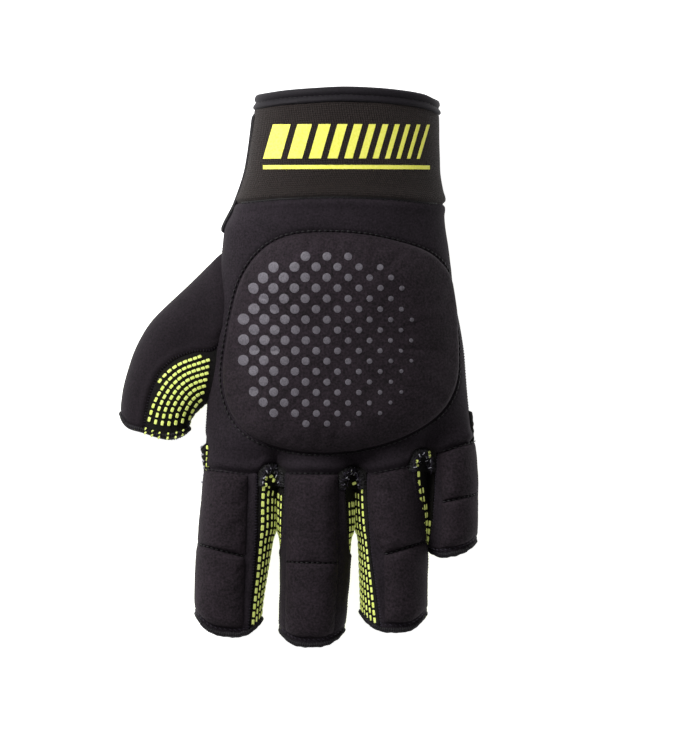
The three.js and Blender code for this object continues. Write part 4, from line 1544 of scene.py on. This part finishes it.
def thumbRibPath(number):
    # Ribs on the upper side keep an even distance, and end where they meet the neoprene's edge
    shares, seam = thumb["ribShares"], thumb["gripSeam"]
    station = np.linspace(2.2, thumb["last"], 300)
    share = smoothAt(shares["station"], shares["first"], station)
    share = share + number * smoothAt(shares["station"], shares["step"], station)
    edge = smoothAt(seam["station"], seam["share"], station)
    angle = thumbAngle(station, np.minimum(share, 0.999))
    line, up = onTube(thumb, station, angle)
    sunk = insideHand(line) < thumb["ribClear"]
    shown = (share > edge + 0.03) & (share < 0.985) & ~sunk & (station < thumbEnd(angle, thumb["ribEnd"]))
    first, last = np.flatnonzero(shown)[[0, -1]]
    return line[first:last + 1], up[first:last + 1]


def buildThumbRibs():
    # Those of the sole carry on round it by the grid
    look = rib["thumb"]
    parts = [ribBlocks(thumbRibPath(number), look) for number in range(thumb["ribs"])]
    last = thumbPalm.shape[0] - 1
    rows = np.linspace(1.0, last - 0.8, 160)
    for column in ribColumns(thumbPalm, last - 8, (look["margin"], look["margin"])):
        height = sampleGrid(thumbPalm, float(last - 8), column)[2]
        if height < thumb["fixed"]["sideLeft"] - 1.5:
            parts.append(ribBlocks(onGrid(thumbPalm, rows, column), look))
    addRibs("thumb_ribs", parts)


for name, finger in fingers.items():
    buildFingerRibs(name, finger, fingerGrids[name]["palm"])
buildPalmRibs()
buildThumbRibs()
print("ribs made")


# Rolled edges of the palm's cloth that show beside the back: one under the index finger's root with
# a row of ribs on it, and one at the little finger's root

rolls = {
    "index_root_roll": table("y x z radius", [
        [-27.8, -33.6, 15.6, 0.5], [-28.8, -34, 15.6, 1.3], [-30, -34.3, 15.6, 1.9],
        [-33, -34.2, 15.6, 1.7], [-37.6, -34.1, 15.4, 1.2], [-42, -34.7, 15, 0.8],
        [-48, -35.4, 14.4, 0.4],
    ]),
    "little_root_roll": table("y x z radius", [
        [-15.6, 61.6, 13, 0.5], [-16.6, 62.6, 13, 1.5], [-18.6, 63, 13, 1.5],
        [-25, 63.7, 13, 1.1], [-34, 64.4, 12.6, 0.5],
    ]),
}
rollLook = {
    "size": (70, 26), "crease": 0.16, "creasePitch": 2.3, "tall": 1.3, "shownLength": 0.78,
    "ribs": {"width": 1.4, "length": 1.6, "pitch": 2.05, "gather": 0.0, "column": 5.0},
    "fray": {"width": 0.75, "length": 1.3, "pitch": 2.3, "lift": 0.3, "column": 9.6},
}


def buildRoll(name, rows):
    # Rings of a radius that grows quickly and tapers off, with small creases across
    along, around = rollLook["size"]
    y = np.linspace(rows["y"][0], rows["y"][-1], along)[:, None]
    angle = np.linspace(0, 2 * np.pi, around, endpoint=False)
    x, z, radius = (smoothAt(rows["y"], rows[key], y) for key in ("x", "z", "radius"))
    radius = radius * (1 + rollLook["crease"] * ripple(y, 0 * y, rollLook["creasePitch"]))
    tall = radius * rollLook["tall"]
    points = np.stack([x + radius * np.cos(angle), y + 0 * angle, z + tall * np.sin(angle)], axis=-1)
    ids = np.arange(around)
    caps = np.stack([ids[::-1], ids + (along - 1) * around])
    addPiece(name, points.reshape(-1, 3), [gridFaces(along, around, wrap=True), caps], ground)
    return points


rollGrids = {name: buildRoll(name, rows) for name, rows in rolls.items()}
shownRows = np.linspace(3, rollLook["size"][0] * rollLook["shownLength"], 80)
ribRow = onGrid(rollGrids["index_root_roll"], shownRows, rollLook["ribs"]["column"])
addRibs("index_root_ribs", [ribBlocks(ribRow, rollLook["ribs"])])
print("rolled edges made")


# Webs: a thick buttonhole of thread round the fork between two fingers

# Each web reaches from its middle to half its width and to its back and front, lies flat over a
# share of its rows, and from there falls to its foot
web = {
    "size": (44, 40), "half": 4.7, "back": 4.2, "front": 4.4, "flat": 0.62, "drop": 1.6, "foot": 11.5,
    "ridge": 1.0, "ridgeWidth": 1.4, "thickness": 1.3, "sunk": 0.7, "full": 0.5, "ripple": 0.2,
    "ripplePitch": 1.9, "borderWidth": 1.2,
    "arch": [
        (3.7, -4.8), (3.6, -2.0), (3.0, 0.4), (1.7, 2.1), (0, 2.7), (-1.7, 2.1), (-3.0, 0.4),
        (-3.6, -2.0), (-3.7, -4.8),
    ],
    "places": {
        "web_index_middle": (-10.0, -39.4), "web_middle_ring": (19.6, -40.2),
        "web_ring_little": (45.6, -33.8),
    },
    # Ends of ribs that show through the thread: a place and a turn
    "specks": {
        "web_index_middle": [(-0.2, -0.8, 1.3), (0.6, -2.2, 0.4), (-2.6, -1.6, 0.1), (-2.6, -3.9, 0.1)],
        "web_middle_ring": [(0.8, -2.6, 1.2)],
        "web_ring_little": [(-2.8, -0.8, 0.5), (-2.4, -2.4, 1.4), (1.6, 2.5, 0.9), (2.3, 1.4, 0.2)],
    },
}
webThreads = {
    "buttonhole": {"width": 0.5, "length": 3.0, "pitch": 0.6, "sag": 0.5, "lift": 0.12},
    "loose": {"width": 0.4, "length": 2.0, "pitch": 0.8, "sag": 0.2, "lift": 0.4},
    "pale": {"width": 0.42, "length": 1.5, "pitch": 2.3, "sag": 0.1, "lift": 0.55},
    "speck": {"width": 1.0, "length": 1.6, "cut": 0.25, "lift": 0.45},
}


def addStitches(name, parts, material):
    # Thread, shaded round
    addParts(name, parts, material, 70, lowest["ribs"])


def webCell(dx, dy):
    # The row and column of the web's grid at a place measured from its middle
    rows, columns = web["size"]
    lie = (web["back"] - dy) / (web["back"] + web["front"])
    return lie * web["flat"] * (rows - 1), (0.5 - 0.5 * dx / web["half"]) * (columns - 1)


def buildWeb(name, number):
    # Over the panel's edge and down between the fingers, with a ridge along the arch
    cx, cy = web["places"][name]
    rows, columns = web["size"]
    v = np.linspace(0, 1, rows)[:, None] / web["flat"]
    dx = np.linspace(web["half"], -web["half"], columns)[None] + 0 * v
    fall = smoothStep((v - 1) * web["flat"] / (1 - web["flat"]))
    dy = web["back"] - np.minimum(v, 1) * (web["back"] + web["front"])
    dy = dy - web["drop"] * (v > 1) * np.sin(fall * np.pi / 2)
    base, up = onBack(cx + dx, cy + np.maximum(dy, -web["front"]))
    base[..., 1] = cy + dy
    base[..., 2] += fall * (web["foot"] - base[..., 2])
    away = lineDistance(dx, dy, web["arch"])
    first, last, start, _ = toEdges(base)
    border = smoothStep(np.minimum.reduce([first, last, start]) / web["borderWidth"])
    lift = -web["sunk"] + (web["full"] + web["ridge"] * bell(away, web["ridgeWidth"])) * border
    lift += web["ripple"] * ripple(dx, dy, web["ripplePitch"], number) * border
    outer = base + up * lift[..., None]
    # The fold is in the flat black ground cloth: partly the web's own black thread, partly painted shade
    # where the fork darkens the panel
    addShell(name + "_fold", outer, base - up * web["thickness"], ground, [name])
    fine = np.linspace(0, 1, 120)
    ax, ay = (np.interp(fine, np.linspace(0, 1, len(web["arch"])), axis) for axis in zip(*web["arch"]))

    def besideArch(shrink):
        # The arch drawn smaller or larger about its middle
        return onGrid(outer, *webCell(ax * shrink, ay * shrink))

    def row(look, shrink, turn, lift, jitter, seed):
        # Threads beside the arch
        return stitches(besideArch(shrink), webThreads[look], turn, lift, jitter, number + seed)

    across = np.pi / 2
    dark = [row("buttonhole", 1.0, across, 0.0, 0.3, 0)]
    for k, shrink in enumerate((1.2, 0.74, 0.5)):
        dark.append(row("buttonhole", shrink, across + 0.3, 0.05, 0.5, 10 + k))
    addStitches(name + "_stitching", dark, thread)
    loose = [row("loose", shrink, across - 0.5, 0.0, 1.2, 30) for shrink in (1.05, 0.7)]
    addStitches(name + "_loose_thread", loose, overlock)
    # Pale threads round the arch: partly loose ends, partly painted glints on the black thread
    pale = [row("pale", shrink, 0.6, 0.0, 1.3, 40) for shrink in (0.95, 0.5)]
    addStitches(name + "_pale_thread_and_glints", pale, paleThreadAndGlints)
    sx, sy, turn = np.array(web["specks"][name]).T
    place, beside, along, up = seatsAt(*onGrid(outer, *webCell(sx, sy)), turn)
    speck = webThreads["speck"]
    shape = stackedShape(blockOutline(speck, speck["cut"]), [(-0.3, 1.0), (0.3, 0.8)])
    addParts(name + "_specks", [stamp(shape, place + up * speck["lift"], beside, along, up)], rubber)


for number, name in enumerate(web["places"]):
    buildWeb(name, number)
frayed = onGrid(rollGrids["index_root_roll"], shownRows, rollLook["fray"]["column"])
addStitches("index_root_fray", [stitches(frayed, rollLook["fray"], 0.8, jitter=1.0, seed=7)], paleThreadAndGlints)
print("webs made")


# Stitches

threads = {
    "seam": {"width": 0.45, "length": 1.25, "pitch": 1.95, "lift": 0.05},
    "midSeam": {"width": 0.6, "length": 1.2, "pitch": 1.95, "lift": 0.0},
    "groove": {"width": 0.62, "length": 1.45, "pitch": 2.1, "lift": 0.1},
    "edge": {"width": 0.34, "length": 1.5, "pitch": 1.05, "sag": 0.22, "lift": 0.02},
    "lip": {"width": 0.42, "length": 1.9, "pitch": 0.85, "sag": 0.55, "lift": 0.02},
    "dash": {"width": 0.32, "length": 1.1, "pitch": 1.7, "lift": 0.06},
    "darkLine": {"width": 0.62, "length": 2.4, "pitch": 1.7, "lift": 0.0},
    "zigzag": {"width": 0.4, "length": 2.3, "pitch": 2.0, "lift": 0.1},
}
# The stitch line round the knuckle pad is larger than its outline, drops by a little in its upper
# part, stays in from the hand's side, and lies above the bottom of the groove
grooveLine = {"larger": 1.022, "drop": 0.3, "dropWay": 26, "inFromSide": 0.9, "above": 0.2}
lipRibs = [
    {"width": 0.7, "length": 1.0, "row": 1.2, "turn": 0.4},
    {"width": 0.75, "length": 1.5, "row": 4.6, "turn": 0.4},
]


def closedRing(grid, row):
    # One row of a closed grid, all round
    return onGrid(np.concatenate([grid, grid[:, :1]], axis=1), row, np.linspace(0, grid.shape[1], 400))


def seamPath(finger, line, fromX, toX):
    # A straight sloping seam over the back of a finger
    x0, y0, slope = line
    x = np.linspace(fromX, toX, 60)
    y = y0 + slope * (x - x0)
    return onTube(finger, y, topAngle(rowOf(finger, y), x))


def betweenPads(grids):
    # Halfway between the facing ends of a finger's two pads
    columns = np.linspace(1, grids["padTip"].shape[1] - 2, 80)
    upper, upperOut = onGrid(grids["padBase"], grids["padBase"].shape[0] - 1.0, columns)
    lower, lowerOut = onGrid(grids["padTip"], 0.0, columns)
    return (upper + lower) / 2, unit(upperOut + lowerOut)


def stitchFinger(name, finger, grids):
    # The pads' two seams, both edges of the neoprene, a line before the hem, and the hem's own edge
    pads, back = finger["pads"], grids["back"]
    fromX, toX = pads["left"].min() + 1.2, pads["right"].max() - 1.2
    seams = [stitches(seamPath(finger, finger["baseSeam"], fromX, toX), threads["seam"], lift=0.25),
             stitches(betweenPads(grids), threads["midSeam"])]
    addStitches(name + "_seam_stitches", seams, thread)
    last, wide = back.shape[0] - 1, back.shape[1] - 1
    rows = np.linspace(1.5, last - 1.0, 200)
    edges = [stitches(onGrid(back, rows, column), threads["edge"], np.pi / 2, jitter=0.12)
             for column in (2.4, wide - 2.4)]
    addStitches(name + "_edge_stitches", edges, overlock)
    angle = np.linspace(0.5, np.pi - 0.5, 80)
    hemLine = onTube(finger, fingerEnd(finger, angle, 2.9), angle)
    addStitches(name + "_hem_stitches", [stitches(hemLine, threads["dash"], 0.45, jitter=0.1)], overlock)
    lip = stitches(closedRing(grids["hem"], 3), threads["lip"], np.pi / 2, jitter=0.25)
    addStitches(name + "_lip_stitches", [lip], thread)


def stitchHand():
    # Round the knuckle pad just outside its outline, at the depth that the groove has there, then the
    # cuff's seam with its zigzag and a dark line that paints its shadow, the tape, a dark line along the
    # piping's edge and both sides of the back
    loop = np.concatenate([domeLine, domeLine[:1]])
    middle = np.array(dome["centre"])
    grown = middle + (loop - middle) * grooveLine["larger"]
    grown[:, 1] -= grooveLine["drop"] * smoothStep((grown[:, 1] - middle[1]) / grooveLine["dropWay"])
    grown[:, 0] = np.minimum(grown[:, 0], rowOf(hand, grown[:, 1])["right"] - grooveLine["inFromSide"])
    away = lineDistance(*grown.T, domeLine)
    depth = grooveLine["above"] - backLook["groove"] * bell(away, backLook["grooveWidth"])
    groove = onBack(*grown.T, depth[:, None])
    addStitches("knuckle_pad_stitches", [stitches(groove, threads["groove"], jitter=0.05)], thread)
    x = np.linspace(51, -21, 200)
    seam = onBack(x, lineAt(seamLines["cuff"], x) - 0.4, -0.15)
    zigzag = [stitches(seam, threads["zigzag"], turn) for turn in (0.6, -0.6)]
    # The continuous dark line in the seam's groove is painted shadow
    addStitches("cuff_seam_stitches_and_shade_line", zigzag + [stitches(seam, threads["darkLine"])], thread)
    addStitches("cuff_tape_stitches", [stitches(closedRing(tapeGrid, 5), threads["seam"])], thread)
    border = onGrid(pipingGrid, np.linspace(1, pipingGrid.shape[0] - 2, 120), 0.8)
    addStitches("piping_dark_line", [stitches(border, threads["darkLine"])], thread)
    thumbSide = onGrid(backGrid, np.linspace(12, backGrid.shape[0] - 26, 160), backGrid.shape[1] - 3.5)
    addStitches("thumb_root_stitches", [stitches(thumbSide, threads["edge"], 1.2)], overlock)
    otherSide = onGrid(backGrid, np.linspace(3, backGrid.shape[0] - 3, 300), 2.0)
    addStitches("side_seam_stitches", [stitches(otherSide, threads["edge"], 1.2)], thread)


def stitchThumb():
    # Both edges of the neoprene and the hem's edge, with the ends of the ribs sewn into it
    last = thumbBack.shape[0] - 1
    rows = np.linspace(2, last - 1, 200)
    edges = [stitches(onGrid(thumbBack, rows, column), threads["edge"], np.pi / 2, jitter=0.12)
             for column in (1.6, thumbBack.shape[1] - 2.6)]
    addStitches("thumb_edge_stitches", edges, overlock)
    lip = stitches(closedRing(thumbHem, 3), threads["lip"], np.pi / 2, jitter=0.25)
    addStitches("thumb_lip_stitches", [lip], thread)
    ends = np.array([thumbRibPath(number)[0][-1] for number in range(1, thumb["ribs"] - 1)])
    columns = np.linalg.norm(thumbHem[3][None] - ends[:, None], axis=2).argmin(axis=1)
    parts = []
    for look in lipRibs:
        place, up = onGrid(thumbHem, look["row"], columns.astype(float))
        place, beside, along, up = seatsAt(place, up, np.full(len(columns), look["turn"]))
        shape = stackedShape(blockOutline(look, 0.2), [(-0.3, 1.0), (0.42, 0.85)])
        parts.append(stamp(shape, place, beside, along, up))
    addRibs("thumb_lip_ribs", parts)


for name, finger in fingers.items():
    stitchFinger(name, finger, fingerGrids[name])
stitchHand()
stitchThumb()
print("stitches made")


# Prints: graded bars on the cuff and graded dots on the knuckle pad

cuffPrint = {
    "left": -12.6, "right": 47.7, "top": 89.4, "bottom": 76.8, "lean": 3.6, "count": 11, "widest": 6.4,
    "thinnest": 1.0, "lineTop": 74.4, "lineBottom": 72.9, "lift": 0.84, "thick": 0.2, "barSize": (16, 7),
    "lineSize": (3, 70),
}
domePrint = {
    "pitch": 5.4, "widest": 4.5, "thinnest": 1.0, "left": -21.0, "right": 42.0, "top": 42.0,
    "bottom": -21.5, "corners": 16,
    "levels": [(-0.25, 1.0), (0.06, 1.0), (0.1, 0.94), (0.1, 0.5), (0.1, 0.06)],
}


def printBar(start, end, top, bottom, lean, size):
    # A thin patch over the band: rows from its end back to its start, which from the bottom to the
    # top move over by the lean
    v = np.linspace(0, 1, size[0])[:, None]
    x = np.linspace(end, start, size[1]) + lean * (1 - v)
    y = top + (bottom - top) * v
    outer, _ = onBack(x, y, cuffPrint["lift"])
    inner, _ = onBack(x, y, cuffPrint["lift"] - cuffPrint["thick"])
    return shellOf(outer, inner)


def buildCuffPrint():
    # Leaning bars whose widths shrink by an even ratio, and a line under them
    look = cuffPrint
    widths = np.geomspace(look["widest"], look["thinnest"], look["count"])
    room = look["right"] - look["left"] - look["lean"] - widths.sum()
    starts = look["left"] + np.concatenate([[0], np.cumsum(widths[:-1] + room / (look["count"] - 1))])
    parts = [
        printBar(x, x + wide, look["top"], look["bottom"], look["lean"], look["barSize"])
        for x, wide in zip(starts, widths)
    ]
    parts.append(printBar(
        look["left"], look["right"], look["lineTop"], look["lineBottom"], 0.0, look["lineSize"]))
    addParts("cuff_print", parts, cuffInk)


def onDome(x, y, lift):
    # Places in plan laid over the knuckle pad: its grid is found again from the way and the heading
    # from its middle, and they are moved out along its normals
    rings, turns = dome["size"]
    acrossX, acrossY = x - dome["centre"][0], y - dome["centre"][1]
    angle = np.arctan2(acrossY, acrossX) % (2 * np.pi)
    share = np.hypot(acrossX, acrossY) / domeReachAt(angle)
    wide = np.concatenate([domeUpper, domeUpper[:, :1]], axis=1)[:, ::-1]
    wide[0] = domeUpper[1].mean(axis=0)
    r, c = share ** (1 / dome["crowding"]) * (rings - 1), turns - angle / (2 * np.pi) * turns
    up = unit(sampleGrid(gridNormals(wide), r, c))
    up = np.where(up[..., 2:] < 0, -up, up)
    return sampleGrid(wide, r, c) + up * lift[..., None]


def buildDomePrint():
    # Discs on a turned square grid, smaller towards the lower right: a printed fade that also paints the
    # ink's reflection dimming away from the light at the upper left
    look = domePrint
    step = look["pitch"] / np.sqrt(2)
    i, j = np.meshgrid(np.arange(-30, 31), np.arange(-30, 31))
    x, y = (i + j).ravel() * step, (i - j).ravel() * step
    x, y = x + (look["left"] + look["right"]) / 2, y + (look["top"] + look["bottom"]) / 2
    across = (x - look["left"]) / (look["right"] - look["left"])
    down = (look["top"] - y) / (look["top"] - look["bottom"])
    keep = (np.abs(2 * across - 1) ** 3 + np.abs(2 * down - 1) ** 3) < 1
    x, y, fade = x[keep], y[keep], np.clip(0.75 * across + 0.25 * down, 0, 1)[keep]
    width = look["widest"] + (look["thinnest"] - look["widest"]) * fade
    turn = np.arange(look["corners"]) * 2 * np.pi / look["corners"]
    shape, faceSets = stackedShape(np.column_stack([np.cos(turn), np.sin(turn)]) / 2, look["levels"])
    lift = np.broadcast_to(shape[:, 2], (len(x), len(shape)))
    x, y, width = x[:, None], y[:, None], width[:, None]
    places = onDome(x + width * shape[:, 0], y + width * shape[:, 1], lift)
    addPiece(
        "knuckle_pad_print", places.reshape(-1, 3), repeated(faceSets, len(shape), len(x)), padInk)


buildCuffPrint()
buildDomePrint()
print("prints made")


# Camera, floor and light

# The camera's lens and sensor are in millimetres, the lamps' places and sizes in metres
view = {"millimetresPerPixel": 0.37, "centre": (15.4, -2.8, 14.0), "lens": 500.0, "sensor": 36, "tall": 750}
studio = {
    "floorHalf": 3, "floorGlow": 0.9, "surround": 0.27,
    "softKey": {"place": (-0.41, 0.40, 0.47), "size": 0.42, "power": 6.6},
    "softFill": {"place": (-0.9, -0.4, 1.4), "size": 1.2, "power": 0.9},
}


def buildView():
    # A long lens straight above, so far off that a millimetre takes its share of the picture
    camera = bpy.data.cameras.new("overheadCamera")
    camera.lens = view["lens"]
    camera.sensor_width = view["sensor"]
    camera.clip_end = 50
    seen = bpy.data.objects.new("overheadCamera", camera)
    distance = view["tall"] * view["millimetresPerPixel"] * view["lens"] / view["sensor"]
    x, y, z = view["centre"]
    seen.location = (x * metre, y * metre, (z + distance) * metre)
    bpy.context.scene.collection.objects.link(seen)
    bpy.context.scene.camera = seen


def buildFloor():
    # A pale floor that gives back most of the light
    half = studio["floorHalf"]
    mesh = bpy.data.meshes.new("floor")
    corners = [(-half, -half, 0), (half, -half, 0), (half, half, 0), (-half, half, 0)]
    mesh.from_pydata(corners, [], [(0, 1, 2, 3)])
    floor = bpy.data.objects.new("floor", mesh)
    bpy.context.scene.collection.objects.link(floor)
    material, _ = newMaterial("paleFloor", {
        "Base Color": linear("#f4f4f4"), "Roughness": 0.9, "Specular IOR Level": 0.1,
        "Emission Color": linear("#ffffff"), "Emission Strength": studio["floorGlow"],
    })
    mesh.materials.append(material)


def addLight(name):
    # A round lamp that faces the glove
    look = studio[name]
    data = bpy.data.lights.new(name, "AREA")
    data.shape = "DISK"
    data.size = look["size"]
    data.energy = look["power"]
    light = bpy.data.objects.new(name, data)
    light.location = look["place"]
    light.rotation_mode = "QUATERNION"
    light.rotation_quaternion = (-light.location).to_track_quat("-Z", "Y")
    bpy.context.scene.collection.objects.link(light)


def buildLights():
    # A key from the upper left, a weak fill, and an even white surround
    addLight("softKey")
    addLight("softFill")
    world = bpy.data.worlds.new("studio")
    world.use_nodes = True
    back = world.node_tree.nodes["Background"]
    back.inputs["Color"].default_value = (1, 1, 1, 1)
    back.inputs["Strength"].default_value = studio["surround"]
    bpy.context.scene.world = world
    bpy.context.scene.view_settings.view_transform = "Standard"


buildView()
buildFloor()
buildLights()
